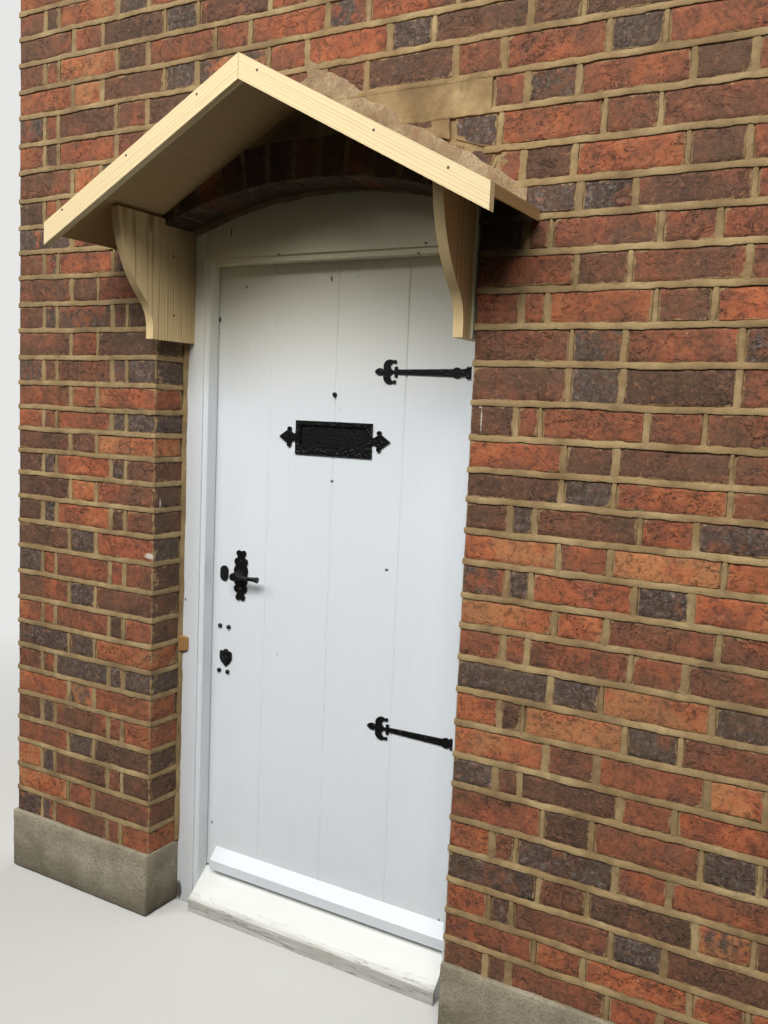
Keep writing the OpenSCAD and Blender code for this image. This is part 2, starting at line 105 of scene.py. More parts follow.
class Tree:
    """Builds a node material. A colour is a tuple of 0-255 display values, a linear list or a socket."""

    def __init__(self, name):
        self.mat = bpy.data.materials.new(name)
        self.mat.use_nodes = True
        self.nt = self.mat.node_tree
        self.coord = self.new("TexCoord").outputs["Object"]
        self.kept = {}
        self.base = None

    def put(self, node, inputs):
        """Links or sets the inputs of a node by name or number."""
        for key, value in inputs.items():
            socket = node.inputs[key]
            if isinstance(value, bpy.types.NodeSocket):
                self.nt.links.new(value, socket)
            elif socket.type == "RGBA":
                socket.default_value = (*(srgb(*value) if isinstance(value, tuple) else value), 1)
            else:
                socket.default_value = value

    def new(self, kind, inputs=None, **sets):
        node = self.nt.nodes.new("ShaderNode" + kind)
        for key, value in sets.items():
            setattr(node, key, value)
        self.put(node, inputs or {})
        return node

    def math(self, op, a, b=0.0):
        return self.new("Math", {0: a, 1: b}, operation=op).outputs[0]

    def abs(self, value):
        return self.math("ABSOLUTE", value)

    def add(self, *terms):
        return reduce(lambda a, b: self.math("ADD", a, b), terms)

    def times(self, *factors):
        return reduce(lambda a, b: self.math("MULTIPLY", a, b), factors)

    def swing(self, value, amount):
        """A noise value, centred on nought and scaled."""
        return self.times(self.math("SUBTRACT", value, 0.5), amount)

    def map(self, scale, turn=(0, 0, 0), at=(0, 0, 0)):
        """Coordinates measured from at, in axes turned by turn, in units of scale."""
        inputs = {"Vector": self.coord, "Scale": scale, "Rotation": turn, "Location": at}
        return self.new("Mapping", inputs, vector_type="TEXTURE").outputs[0]

    def apart(self, chance):
        """Coordinates that differ from brick to brick."""
        shift = self.new("CombineXYZ", {i: self.times(chance, f) for i, f in enumerate((17.0, 11.0, 5.0))})
        return self.new("VectorMath", {0: self.coord, 1: shift.outputs[0]}, operation="ADD").outputs[0]

    def length(self, vec):
        return self.new("VectorMath", {0: vec}, operation="LENGTH").outputs["Value"]

    def noise(self, scale, detail=4.0, rough=0.55, vec=None, warp=0.0):
        """Noise over the object, made once where the same one is asked for again."""
        key = (scale, detail, rough, warp)
        if vec is None and key in self.kept:
            return self.kept[key]
        inputs = dict(zip(("Scale", "Detail", "Roughness", "Distortion"), key))
        out = self.new("TexNoise", {"Vector": vec or self.coord, **inputs}).outputs[0]
        if vec is None:
            self.kept[key] = out
        return out

    def cells(self, scale, vec=None):
        return self.new("TexVoronoi", {"Vector": vec or self.coord, "Scale": scale}).outputs["Distance"]

    def ramp(self, fac, *stops):
        """A colour scale through stops of a place and three display values."""
        node = self.new("ValToRGB", {0: fac})
        el = node.color_ramp.elements
        while len(el) < len(stops):
            el.new(0.5)
        for e, (place, *display) in zip(el, stops):
            e.position = place
            e.color = (*srgb(*display), 1)
        return node.outputs[0]

    def step(self, fac, lo, hi, a=0.0, b=1.0):
        """Goes from a to b while fac goes from lo to hi."""
        return self.new("MapRange", dict(enumerate((fac, lo, hi, a, b))), clamp=True).outputs[0]

    def below(self, fac, lo, hi):
        """1 up to lo, and 0 from hi."""
        return self.step(fac, lo, hi, 1.0, 0.0)

    def mix(self, fac, a, b):
        return self.new("Mix", {0: fac, 6: a, 7: b}, data_type="RGBA").outputs[2]

    def lay(self, colour, *factors):
        """Lays a colour over the base, as strong as the product of the factors."""
        self.base = self.mix(self.times(*factors), self.base, colour)

    def stain(self, fac, lo, hi, strength, colour, rest=0.0):
        """Lays a colour over the base, from rest at lo to the full strength at hi."""
        self.lay(colour, self.step(fac, lo, hi, rest, strength))

    def attr(self, name, out):
        return self.new("Attribute", attribute_name=name).outputs[out]

    def split(self, vec):
        return self.new("SeparateXYZ", {0: vec}).outputs

    def spot(self, at, radii, ragged=0.6, scale=260):
        """1 inside a ragged blob round a point, and 0 outside."""
        reach = self.length(self.map(radii, at=at))
        return self.below(self.add(reach, self.swing(self.noise(scale, 3), ragged * 2)), 0.8, 1.0)

    def canopy_shade_and_darker_top(self):
        """Painted shade under the canopy, over the arch and beside the brackets, where the canopy shades the
        wall; the wall is also a little darker towards the top.
        """
        x, y, z = self.split(self.coord)
        wide = self.abs(x)
        under = self.math("SUBTRACT", ROOF_TOP - 0.02, self.add(z, self.times(wide, ROOF_SLOPE)))
        front = self.below(y, 0.02, 0.07)
        # Painted shade over the arch, under the canopy
        arch = self.times(self.below(wide, 0.46, 0.54), self.step(z, 1.86, 1.93), front)
        self.lay((38, 28, 20), arch, self.step(under, 0.0, 0.03, 0.0, 0.62))
        # Painted shade beside the brackets, under the canopy's ends
        edge = self.add(wide, self.swing(self.noise(14, 2, 0.6), 0.1))
        beside = self.times(self.below(edge, 0.53, 0.66), self.step(z, 1.7, 1.86), front)
        beside = self.times(beside, self.step(x, -0.5, 0.4, 0.5, 1.0), self.step(wide, 0.43, 0.47))
        self.lay((28, 22, 14), beside, self.step(under, -0.01, 0.02, 0.0, 0.85))
        # A little darker towards the top of the wall
        self.stain(z, 1.7, 2.5, 0.14, (70, 58, 42))

    def bump(self, height, distance, strength=1.0):
        inputs = {"Height": height, "Distance": distance, "Strength": strength}
        return self.new("Bump", inputs).outputs[0]

    def done(self, rough, normal=None, **fixed):
        fixed |= {"Base Color": self.base, "Roughness": rough}
        if normal is not None:
            fixed["Normal"] = normal
        self.put(self.nt.nodes["Principled BSDF"], fixed)
        return self.mat


BUFF = (156, 130, 90)

# Splashes of white on the brickwork: middle and radii
SPLASHES = (((0.492, FRONT, 1.448), (0.0013, 0.01, 0.032)), ((-HALF, -0.095, 1.176), (0.01, 0.003, 0.016)),
            ((-0.478, FRONT, 1.034), (0.02, 0.01, 0.009)), ((0.488, FRONT, 1.475), (0.004, 0.01, 0.004)))


def brick_material():
    t = Tree("old_brick")
    place, burnt, chance = t.split(t.attr("tone", "Color"))
    own = t.apart(chance)
    fine = t.noise(240, 4, 0.65)
    cloud, mottle = t.noise(10, 2, vec=own), t.noise(30, 3, 0.6, vec=own, warp=0.4)
    drift = t.add(place, t.swing(cloud, 1.0), t.swing(mottle, 0.45))
    t.base = t.ramp(drift, (0.0, 60, 43, 35), (0.22, 86, 56, 43), (0.42, 114, 65, 45), (0.6, 142, 74, 48),
                    (0.76, 172, 88, 52), (0.9, 190, 106, 62), (1.0, 192, 124, 76))
    t.stain(t.noise(17, 3, vec=own), 0.54, 0.7, 0.42, (98, 72, 66))
    coal = t.ramp(t.noise(90, 3, 0.75), (0.36, 38, 35, 34), (0.52, 62, 59, 58), (0.68, 112, 110, 108))
    scorch = t.add(t.noise(24, 3, 0.6, vec=own, warp=0.5), t.math("SUBTRACT", burnt, 0.5))
    t.stain(scorch, 0.48, 0.64, 1.0, coal)
    t.stain(fine, 0.38, 0.66, 0.3, (176, 122, 90))
    blotch = t.noise(62, 4, 0.7, vec=own, warp=0.8)
    t.stain(blotch, 0.49, 0.64, 0.62, (56, 40, 30))
    t.stain(blotch, 0.3, 0.42, 0.0, (198, 134, 92), rest=0.4)
    t.stain(t.noise(4.2, 3, 0.65), 0.38, 0.66, 0.42, (98, 80, 58), rest=0.05)
    pits = t.times(t.below(t.cells(95), 0.12, 0.2), t.step(t.noise(13, 2), 0.45, 0.56))
    t.lay((52, 36, 30), pits, 0.8)
    vein = t.abs(t.swing(t.noise(18, 4, 0.62, vec=t.map((1, 1, 0.5)), warp=0.8), 1.0))
    cracks = t.times(t.below(vein, 0.0, 0.011), t.step(t.noise(8, 2, vec=own), 0.47, 0.58))
    t.lay((50, 34, 28), cracks, 0.75)
    flecks = t.times(t.below(t.cells(54), 0.05, 0.09), t.step(t.noise(7, 2), 0.58, 0.64))
    t.lay((206, 196, 178), flecks, 0.7)
    edge = t.add(t.attr("edge", "Fac"), t.swing(t.noise(75, 3, 0.6), 0.018))
    t.lay(BUFF, t.below(t.add(edge, t.swing(t.noise(17, 2), 0.016)), 0.0016, 0.0042), 0.9)
    t.stain(t.noise(26, 4, 0.75, warp=0.6), 0.66, 0.78, 0.4, BUFF)
    for at, radii in SPLASHES:
        t.lay((220, 216, 204), t.spot(at, radii, 0.9, 330), 0.8)
    # Painted shade under the canopy, and darker towards the top
    t.canopy_shade_and_darker_top()
    relief = t.add(t.times(fine, 0.6), t.times(blotch, -1.0), t.times(cracks, -1.2))
    return t.done(t.step(fine, 0.3, 0.7, 0.84, 0.96), t.bump(relief, 0.0026, 0.9))


def mortar_material():
    t = Tree("buff_mortar")
    sand = t.noise(300, 3, 0.7)
    t.base = t.ramp(t.noise(8, 3, 0.6), (0.32, 126, 102, 68), (0.5, *BUFF), (0.7, 182, 158, 114))
    t.stain(sand, 0.52, 0.7, 0.35, (116, 96, 66))
    t.stain(t.noise(40, 3, 0.7), 0.56, 0.72, 0.5, (132, 112, 78))
    t.stain(t.noise(3.5, 4), 0.48, 0.75, 0.4, (120, 108, 80))
    t.lay((88, 72, 50), t.below(t.cells(150), 0.07, 0.13), 0.5)
    t.stain(t.noise(15, 3, 0.7, warp=0.5), 0.5, 0.66, 0.42, (106, 86, 60))
    # Painted shade under the canopy, and darker towards the top
    t.canopy_shade_and_darker_top()
    relief = t.add(t.times(sand, 0.6), t.times(t.noise(55, 3), 1.1))
    return t.done(0.95, t.bump(relief, 0.0024, 0.9))


def smear_material():
    """Old mortar wiped over the wall above the canopy."""
    t = Tree("wiped_mortar")
    sand = t.noise(220, 4, 0.75)
    t.base = t.ramp(t.noise(14, 5, 0.65), (0.3, 126, 102, 76), (0.5, 158, 136, 104), (0.72, 188, 169, 136))
    t.stain(sand, 0.5, 0.62, 0.6, (98, 74, 58))
    t.stain(t.noise(24, 4, 0.6), 0.56, 0.68, 0.5, (140, 92, 72))
    return t.done(0.95, t.bump(t.add(sand, t.noise(45, 4)), 0.0025, 0.9))


def render_material():
    t = Tree("cement_render")
    fine = t.noise(190, 5, 0.72)
    t.base = t.ramp(t.noise(7, 6, 0.6), (0.28, 130, 121, 102), (0.5, 161, 151, 129), (0.74, 184, 175, 153))
    t.stain(fine, 0.46, 0.66, 0.62, (104, 97, 82))
    damp = t.add(t.split(t.coord)[2], t.swing(t.noise(16, 5), 0.12))
    t.stain(damp, 0.03, 0.11, 0.0, (84, 76, 58), rest=0.55)
    t.stain(t.noise(38, 5, 0.7), 0.64, 0.72, 0.55, (204, 198, 180))
    t.stain(t.noise(5, 6, 0.7, warp=0.6), 0.57, 0.63, 0.35, (104, 96, 74))
    return t.done(0.93, t.bump(t.add(fine, t.times(t.noise(45, 5, 0.6), 1.2)), 0.0022, 0.9))


def paint_material(name, tint, along, dirt=0.3, face=0, knocks=(), nose=False, painted_top_shade=False):
    """White paint on wood: brush marks along the piece, specks, dirt low down, a few knocks, painted warm
    light towards the top, and with painted_top_shade a darker painted shade at the very top.
    """
    t = Tree(name)
    scale = {"x": (1 / 3, 1 / 90, 1 / 90), "z": (1 / 90, 1 / 90, 1 / 3)}[along]
    brush = t.noise(3.0, 4, 0.6, vec=t.map(scale))
    t.base = t.mix(t.step(brush, 0.35, 0.65), tint, shade(tint, 0.965))
    t.stain(t.noise(2.6, 4, 0.6), 0.35, 0.7, 0.10, (192, 200, 204))
    y, height = t.split(t.coord)[1:]
    # Painted light: the paint turns warmer towards the top, standing for warm light thrown back from the
    # wood and brick under the canopy
    t.stain(height, 1.45, 1.86, 0.8, (232, 224, 188))
    low = t.below(t.add(height, t.swing(t.noise(9, 5, 0.7), 0.5)), 0.05, 0.4)
    t.lay((190, 190, 180), low, dirt)
    specks = t.below(t.cells(24, t.map((1, 1, 1.5))), 0.03, 0.055)
    t.lay((92, 86, 76), specks, t.step(t.noise(6, 2), 0.55, 0.62), 0.8)
    relief = t.add(t.times(brush, 0.6), t.times(t.noise(300, 3), 0.25))
    rough = t.step(brush, 0.3, 0.7, 0.4, 0.52)
    if painted_top_shade:
        # Painted shade: darker at the very top, under the canopy
        high = t.add(height, t.swing(t.noise(11, 5, 0.7), 0.07))
        t.stain(high, 1.85, 1.985, 0.6, (132, 122, 96), rest=0.05)
    for x, z, *radii in knocks:
        t.lay((66, 58, 48), t.spot((x, face, z), radii), 0.9)
    if nose:
        wear = t.noise(20, 5, 0.65, vec=t.map((5, 0.5, 0.5)), warp=0.3)
        front = t.times(t.below(y, -0.031, -0.022), t.step(wear, 0.36, 0.62, 0.35, 1.0))
        t.lay((168, 163, 150), front, 0.7)
        line = t.abs(t.swing(t.noise(20, 4, 0.55, vec=t.map((5, 0.3, 0.3))), 1.0))
        crack = t.times(t.below(line, 0.0, 0.014), t.below(y, -0.028, -0.012))
        t.lay((104, 95, 80), crack, 0.8)
        flake = t.times(t.step(t.noise(34, 5, 0.7, warp=0.5), 0.66, 0.68), t.step(t.noise(5, 2), 0.5, 0.58))
        t.lay((176, 166, 148), flake, 0.6)
        relief = t.add(relief, t.times(crack, -1.6), t.times(flake, -0.8))
        rough = t.add(rough, t.times(front, 0.3))
    return t.done(rough, t.bump(relief, 0.0005, 0.7), **{"Specular IOR Level": 0.4})


def pine_material(name, turn, pith, light, line, spacing, depth=1.0, nails=(), shaded=False):
    """Planed softwood: growth rings round a pith that lies off the board, which runs along local x."""
    t = Tree(name)

    def grain(detail, scale, rough=0.55):
        return t.noise(1.0, detail, rough, vec=t.map(scale, turn))

    rings = t.length(t.map((40, 1, 1), turn, pith))
    wander = t.add(t.swing(grain(3, (0.9, 0.05, 0.05)), 3.0), t.swing(grain(2, (0.2, 0.02, 0.02)), 0.5))
    band = t.times(t.math("PINGPONG", t.add(t.times(rings, spacing), wander), 0.5), 2.0)
    varied = t.step(grain(3, (1.2, 0.018, 0.018)), 0.35, 0.65, 0.35, 1.0)
    late = t.times(t.below(band, 0.04, 0.42), varied)
    fibre = grain(4, (0.07, 0.0022, 0.0022), 0.7)
    t.base = t.mix(t.times(late, depth), light, line)
    t.stain(fibre, 0.48, 0.7, 0.22 * depth, line)
    t.stain(grain(3, (0.5, 0.06, 0.06)), 0.4, 0.7, 0.3, shade(light, 0.9))
    knot = t.cells(1.0, t.map((0.55, 0.16, 0.16), turn, (0.21, 0.07, 0.33)))
    t.stain(knot, 0.03, 0.07, 0.0, (150, 104, 60), rest=0.8 * depth)
    # Painted shade on the brackets: darker towards the top under the canopy, and more so towards the wall
    if shaded:
        y, z = t.split(t.coord)[1:]
        inner = t.step(t.add(t.times(y, 1.2), z), 1.55, 1.86)
        t.lay((84, 62, 36), inner, t.step(y, -0.2, -0.06, 0.15, 0.6))
    if nails:
        mitre = t.abs(t.split(t.coord)[0])
        t.stain(mitre, 0.0005, 0.0011, 0.0, (124, 100, 66), rest=0.7)
    for x, z in nails:
        t.lay((84, 58, 36), t.spot((x, BARGE_FRONT, z), (0.0034, 0.01, 0.0034), 0.25))
    return t.done(t.step(fibre, 0.3, 0.7, 0.55, 0.68), t.bump(t.add(t.times(late, 0.5), fibre), 0.0004, 0.5))


def iron_material(name, tint, beaten, rough):
    t = Tree(name)
    fine = t.noise(420, 4, 0.6)
    t.base = t.mix(t.step(t.noise(60, 4), 0.45, 0.7, 0.0, 0.6), tint, shade(tint, 1.9))
    t.stain(t.noise(90, 5, 0.7), 0.64, 0.74, 0.2, (80, 72, 60))
    relief = t.add(t.times(t.cells(140), beaten), t.times(fine, 0.3))
    rough = t.step(fine, 0.3, 0.7, rough - 0.06, rough + 0.12)
    return t.done(rough, t.bump(relief, 0.0009, 0.8), Metallic=0.2)


BRICK = brick_material()
MORTAR = mortar_material()
WIPED = smear_material()
CEMENT = render_material()

# Paint, with its knocks and nail holes: x, z, and the radii along x, y and z
WHITE = (226, 231, 235)
FRAME_PAINT = paint_material("frame_white", WHITE, "z", knocks=[
    (-0.448, 1.707, 0.004, 0.02, 0.008), (-0.453, 1.632, 0.003, 0.02, 0.006),
    (-0.455, 0.03, 0.012, 0.03, 0.03), (-0.452, 0.9, 0.003, 0.02, 0.005)])
# The head's top gets painted shade under the canopy
HEAD_PAINT = paint_material("head_white", (232, 228, 204), "x", 0.1, painted_top_shade=True, knocks=[
    (0.272, 1.856, 0.005, 0.03, 0.003), (0.249, 1.834, 0.004, 0.03, 0.003),
    (-0.317, 1.915, 0.003, 0.03, 0.012), (-0.16, 1.85, 0.004, 0.03, 0.003)])
SILL_PAINT = paint_material("sill_white", (231, 232, 228), "x", 0.12, nose=True)
DOOR_PAINT = paint_material("door_white", WHITE, "z", 0.22, face=DOOR_FRONT, knocks=[
    (-0.001, 1.268, 0.005, 0.02, 0.004), (-0.298, 1.777, 0.003, 0.02, 0.004),
    (-0.375, 0.240, 0.003, 0.02, 0.005), (0.372, 0.173, 0.003, 0.02, 0.006),
    (-0.39, 1.690, 0.006, 0.02, 0.008), (0.176, 1.054, 0.006, 0.02, 0.004),
    (-0.023, 1.79, 0.003, 0.02, 0.009)])
LEDGE_PAINT = paint_material("ledge_white", WHITE, "x", 0.15)
# The packing strip's white is given grey and dull, as painted shade where the bracket and the canopy shade
# it, with more painted shade at its top
STRIP_PAINT = paint_material("strip_white", (172, 174, 158), "z", 0.15, painted_top_shade=True)

# Ironwork
LACQUER = (15, 15, 14)
IRON = iron_material("black_iron", LACQUER, 1.1, 0.34)
ROUGH_IRON = iron_material("cast_relief", LACQUER, 2.6, 0.24)
STEEL = iron_material("hinge_black", (34, 34, 34), 0.2, 0.45)
NAIL = iron_material("nail_steel", (74, 58, 44), 0.3, 0.6)
COPPER = iron_material("copper_screw", (104, 82, 66), 0.2, 0.4)

# Pine, with the nails that show in the barge boards: x and z
QUARTER = math.pi / 2
SLOPE = math.atan(ROOF_SLOPE)
CREAM, GRAIN = (234, 214, 168), (212, 178, 118)
PINE_R, PINE_L = [
    pine_material(name, (0, side * SLOPE, 0), (side * 0.3, BARGE_FRONT, ROOF_TOP + 0.3), CREAM, GRAIN,
                  140, 0.9, nails) for name, side, nails in (
        ("pine_right", 1, ((0.051, 2.158), (0.344, 2.004), (0.512, 1.917))),
        ("pine_left", -1, ((-0.114, 2.130), (-0.325, 2.020), (-0.537, 1.912))))]
PINE_UP = pine_material("pine_upright", (0, -QUARTER, 0), (0.0, -0.26, 0.0), (224, 198, 148),
                        (172, 136, 84), 260, shaded=True)
PLY = pine_material("plywood", (0, 0, QUARTER), (0.0, 0.0, 3.4), (176, 144, 96),
                    (150, 116, 72), 60, 0.3)
WEDGE_WOOD = pine_material("wedge_wood", (0, -QUARTER, 0), (0.0, -0.3, 0.0), (172, 128, 74),
                           (112, 78, 42), 300)


# Mesh helpers
def link(name, data):
    """A new object in the scene."""
    ob = bpy.data.objects.new(name, data)
    bpy.context.scene.collection.objects.link(ob)
    return ob


class Shape:
    """Collects faces with a tone each, and vertices with their distance to an edge, and makes one object."""

    def __init__(self):
        self.verts, self.faces, self.tones, self.edges = [], [], [], []

    def add(self, verts, faces, tones=None, edges=None):
        n = len(self.verts)
        self.verts += [tuple(v) for v in verts]
        self.faces += [tuple(i + n for i in f) for f in faces]
        self.tones += tones or [(0.5, 0, 0)] * len(faces)
        self.edges += edges or [0.02] * len(verts)

    def make(self, name, material, slot, body="surround", replaces=(), smooth=50):
        inside = [[max(lo, min(hi, c)) for lo, c, hi in zip(cad_lo, v, cad_hi)] for v in self.verts]
        me = bpy.data.meshes.new(name)
        me.from_pydata(inside, [], self.faces)
        if material == BRICK:
            smooth = 60
            colours = [c for t in self.tones for c in (*t, 1.0)]
            me.attributes.new("tone", "FLOAT_COLOR", "FACE").data.foreach_set("color", colours)
            me.attributes.new("edge", "FLOAT", "POINT").data.foreach_set("value", self.edges)
        bm = bmesh.new()
        bm.from_mesh(me)
        bmesh.ops.recalc_face_normals(bm, faces=bm.faces)
        bm.to_mesh(me)
        bm.free()
        me.materials.append(material)
        me.shade_smooth()
        me.set_sharp_from_angle(angle=math.radians(smooth))
        ob = link(name, me)
        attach(ob, body)
        if replaces:
            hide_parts(*replaces)
        return ob


def add_bevel(ob, width, segments=2):
    m = ob.modifiers.new("edges", "BEVEL")
    m.width = width
    m.segments = segments
    m.limit_method = "ANGLE"
    m.angle_limit = math.radians(35)


def wave(x, y, z, scale, shift=0.0):
    """Noise between about -1 and 1 at a point, with a finer octave."""
    p = Vector((x * scale + shift, y * scale + shift * 0.7, z * scale - shift))
    return noise.noise(p) + 0.45 * noise.noise(p * 2.6)


# Where jitter reads its three parts. They are fixed here, because noise_vector's differ from run to run.
JITTER = [Vector(v) for v in ((0.31, -0.72, 0.55), (-0.46, 0.18, -0.87), (0.93, 0.64, -0.12))]
_lattice = {}


def lattice(*n):
    """Keys and quads of the surface of a grid of so many cells each way: Y faces, then Z, then X faces."""
    if n in _lattice:
        return _lattice[n]
    keys, quads = {}, []
    for axis, turned in ((1, (0, 1)), (2, (1, 0)), (0, (1, 0))):
        u, v = sorted({0, 1, 2} - {axis})
        for a, b in product(range(n[u]), range(n[v])):
            for level, back in zip((0, n[axis]), turned):
                quad = []
                for i, j in ((0, 0), (1, 0), (1, 1), (0, 1)):
                    key = [level] * 3
                    key[u], key[v] = (a + j, b + i) if back else (a + i, b + j)
                    quad.append(keys.setdefault(tuple(key), len(keys)))
                quads.append(tuple(quad))
    _lattice[n] = (list(keys), quads)
    return _lattice[n]


def spread(a, b, n):
    """Values from a to b in n equal steps."""
    return [a + (b - a) * i / n for i in range(n + 1)]


def grid_lines(h, r, step, band):
    """Grid lines from -h to h: at r and at band inside each edge, and a step apart between."""
    inner = [r, band] if h > band + 0.005 else [r]
    reach = h - inner[-1]
    n = max(1, round(2 * reach / step))
    low = [-h] + [v - h for v in inner[:-1]]
    return low + [-reach + 2 * reach * i / n for i in range(n + 1)] + [-v for v in reversed(low)]


def worn_box(size, r=0.004, steps=(0.045, 0.06, 0.045), band=0.013, wear=1.0, seed=0.0):
    """A brick with rounded, uneven, chipped edges: vertices, faces, distances to the edge, side faces."""
    half = [s / 2 for s in size]
    grid = [grid_lines(h, r, s, band if i != 1 else 1.0) for i, (h, s) in enumerate(zip(half, steps))]
    keys, quads = lattice(*(len(g) - 1 for g in grid))
    off = Vector((seed * 7.13, seed * 3.7, seed * 5.31))
    out, edges = [], []
    for k in keys:
        p = Vector([grid[a][k[a]] for a in range(3)])
        q = Vector([max(-h + r, min(h - r, c)) for h, c in zip(half, p)])
        edges.append(sorted(h - abs(c) for h, c in zip(half, p))[1])
        d = p - q
        ends = sum(abs(c) > 1e-9 for c in d)
        if ends:
            p = q + d.normalized() * r
        p += Vector([noise.noise(p * 20 + off + shift) for shift in JITTER]) * (0.0006 * wear)
        if ends > 1:
            chip = max(0.0, noise.noise(p * 30 + off * 1.7) - 0.1) * 0.011 * wear
            p -= d.normalized() * chip * (1.4 if ends > 2 else 0.8)
        out.append(p)
    sides = 2 * (len(grid[1]) - 1) * (len(grid[2]) - 1)
    return out, quads, edges, sides


def place(verts, centre, turn):
    m = Matrix.Translation(centre)
    for angle, axis in zip(reversed(turn), "ZYX"):
        m = m @ Matrix.Rotation(angle, 4, axis)
    return [m @ v for v in verts]


def loft(shape, rings, closed=False):
    """Skins rings of points that all have the same count, and caps the ends unless it is closed."""
    m, n = len(rings[0]), len(rings)
    faces = []
    for i in range(n if closed else n - 1):
        k = (i + 1) % n
        faces += [(i * m + j, i * m + (j + 1) % m, k * m + (j + 1) % m, k * m + j) for j in range(m)]
    if not closed:
        faces += [tuple(range(m))[::-1], tuple((n - 1) * m + j for j in range(m))]
    shape.add([v for r in rings for v in r], faces)


def walk(path, step, back_step=0.05):
    """Points a step apart along ((x, y), outward) corners, with the way outward at each."""
    pts = []
    for (a, na), (b, nb) in zip(path, path[1:]):
        a, b = Vector(a), Vector(b)
        way = (b - a).normalized()
        behind = a.y > 0.02 and b.y > 0.02
        n = max(1, round((b - a).length / (back_step if behind else step)))
        pts += [(a.lerp(b, j / n), Vector((way.y, -way.x)) if j else Vector(na)) for j in range(n)]
    pts.append((Vector(path[-1][0]), Vector(path[-1][1])))
    return pts


def bed_joint(shape, path, z, seed, step=0.009):
    """A weather-struck bed: pressed in at its top edge, proud at its bottom edge, both ragged."""
    rings = []
    for p, out in walk(path, step):
        corner = abs(out.x) + abs(out.y) > 1.5
        zc = z + 0.0024 * wave(p.x, p.y, z, 5, seed)
        up = 0.0068 + 0.0021 * wave(p.x, p.y, z, 32, seed + 3) + 0.0010 * wave(p.x, p.y, z, 85, seed)
        low = -0.0072 - 0.0020 * wave(p.x, p.y, z, 28, seed + 9) - 0.0010 * wave(p.x, p.y, z, 80, seed + 4)
        lip = -0.0002 - 0.0013 * abs(wave(p.x, p.y, z, 26, seed + 5)) - (0.0016 if corner else 0)
        profile = ((low, -DEEP), (low, -INSET - 0.0016), (low + 0.0003, lip - 0.0007), (low + 0.0021, lip),
                   (up - 0.004, -INSET + 0.0011), (up, -INSET + 0.0002), (up, -DEEP))
        rings.append([(p.x + out.x * d, p.y + out.y * d, zc + dz) for dz, d in profile])
    loft(shape, rings)


def perpend(shape, x, y, out, z0, z1, seed, step=0.0075):
    """An upright joint, nearly flush and wiped over the brick ends, on a face that looks along out."""
    rng = random.Random(f"{x:.3f} {y:.3f} {z0:.3f}")
    n = max(2, round((z1 - z0) / step))
    out = Vector((*out, 0))
    side = Vector((-out.y, out.x, 0))
    half, lean = rng.uniform(0.0042, 0.0088), rng.uniform(-0.04, 0.04)
    shift = rng.uniform(-0.0015, 0.0015)
    rings = []
    for z in spread(z0, z1, n):
        a = half + 0.0026 * wave(x, y, z, 40, seed)
        b = half + 0.0026 * wave(x, y, z, 40, seed + 7)
        face = -INSET + 0.0009 + 0.0005 * wave(x, y, z, 30, seed + 2)
        c = Vector((x, y, z)) + side * (shift + lean * (z - (z0 + z1) / 2))
        profile = ((-a, -DEEP), (-a, -INSET - 0.0008), (0.003 - a, face),
                   (b - 0.003, face), (b, -INSET - 0.0008), (b, -DEEP))
        rings.append([c + side * s + out * d for s, d in profile])
    loft(shape, rings)


def core(outline):
    """The mortar behind the brick faces: an outline in x and z, from face to face of the wall."""
    shape = Shape()
    n = len(outline)
    verts = [(x, y, z) for y in (FRONT + CORE, BACK - CORE) for x, z in outline]
    faces = [tuple(range(n)), tuple(range(2 * n - 1, n - 1, -1))]
    faces += [(i, (i + 1) % n, n + (i + 1) % n, n + i) for i in range(n)]
    shape.add(verts, faces)
    return shape


def dome(shape, at, out, radius, height, sides=14, rows=3):
    """A domed head that stands on a face and looks along out."""
    out = Vector(out).normalized()
    u = out.orthogonal().normalized()
    w = out.cross(u)
    rings = []
    for i in range(rows + 2):
        a = math.pi / 2 * max(0, i - 1) / rows
        r = radius * max(0.04, math.cos(a))
        lift = -0.001 if i == 0 else height * math.sin(a)
        turns = [2 * math.pi * j / sides for j in range(sides)]
        middle = Vector(at) + out * lift
        rings.append([middle + (u * math.cos(b) + w * math.sin(b)) * r for b in turns])
    loft(shape, rings)


# Brickwork: how far each bed departs from an even gauge, in millimetres, from the plinth up
LEFT_DEV = [0, -4, -1, 3, 3, 8, 11, 9, 9, 10, 14, 20, 23, 22, 20, 14, 5, -5, -8, -7, -5, -3]
RIGHT_DEV = [0, -12, -18, -17, -17, -16, -9, -13, -10, -8, -7,
             -6, -11, -10, -13, -16, -24, -26, -24, -13, -7, -3]
OVER_DEV = [-2, -5, -1, 6, 7, 11, 10, 9, 8, 4]
# Courses of the right pier that start with a header and a closer at the doorway
RIGHT_HEADERS = {0, 2, 4, 6, 8, 10, 12, 14, 17, 20, 22}

# Kinds of brick: bright, orange, red, brown, maroon, dark, burnt blue and slate. Each has its place on the
# colour scale and its share of burnt blue.
KINDS = {"B": (0.92, 0), "O": (0.72, 0), "R": (0.52, 0), "N": (0.36, 0.1), "M": (0.16, 0.12),
         "D": (0.1, 0.42), "U": (0.2, 0.86), "S": (0.24, 0.62)}

# Bricks that stand out, by course: a letter a brick from the left, and after / the side of the last one
LEFT_MARKS = {
    2: "B...M", 3: ".UD", 4: "..R", 5: "..O", 6: "....U", 7: "SSB", 8: "O.R.O/M", 9: "RUN/M", 10: ".ORON/M",
    11: "MUO/U", 12: "M.O.R/M", 13: "DBR/M", 14: "M.OSR/N", 15: "N.B", 19: "..D", 20: "....D",
}
RIGHT_MARKS = {
    0: "N", 1: "R", 2: "O", 3: "S", 4: "O.S", 5: "RD", 6: "URM", 7: "B", 8: "OM", 9: "UU", 10: "O", 11: "B",
    13: "B", 14: "M", 15: "M", 16: "O", 17: "M", 18: "N",
}
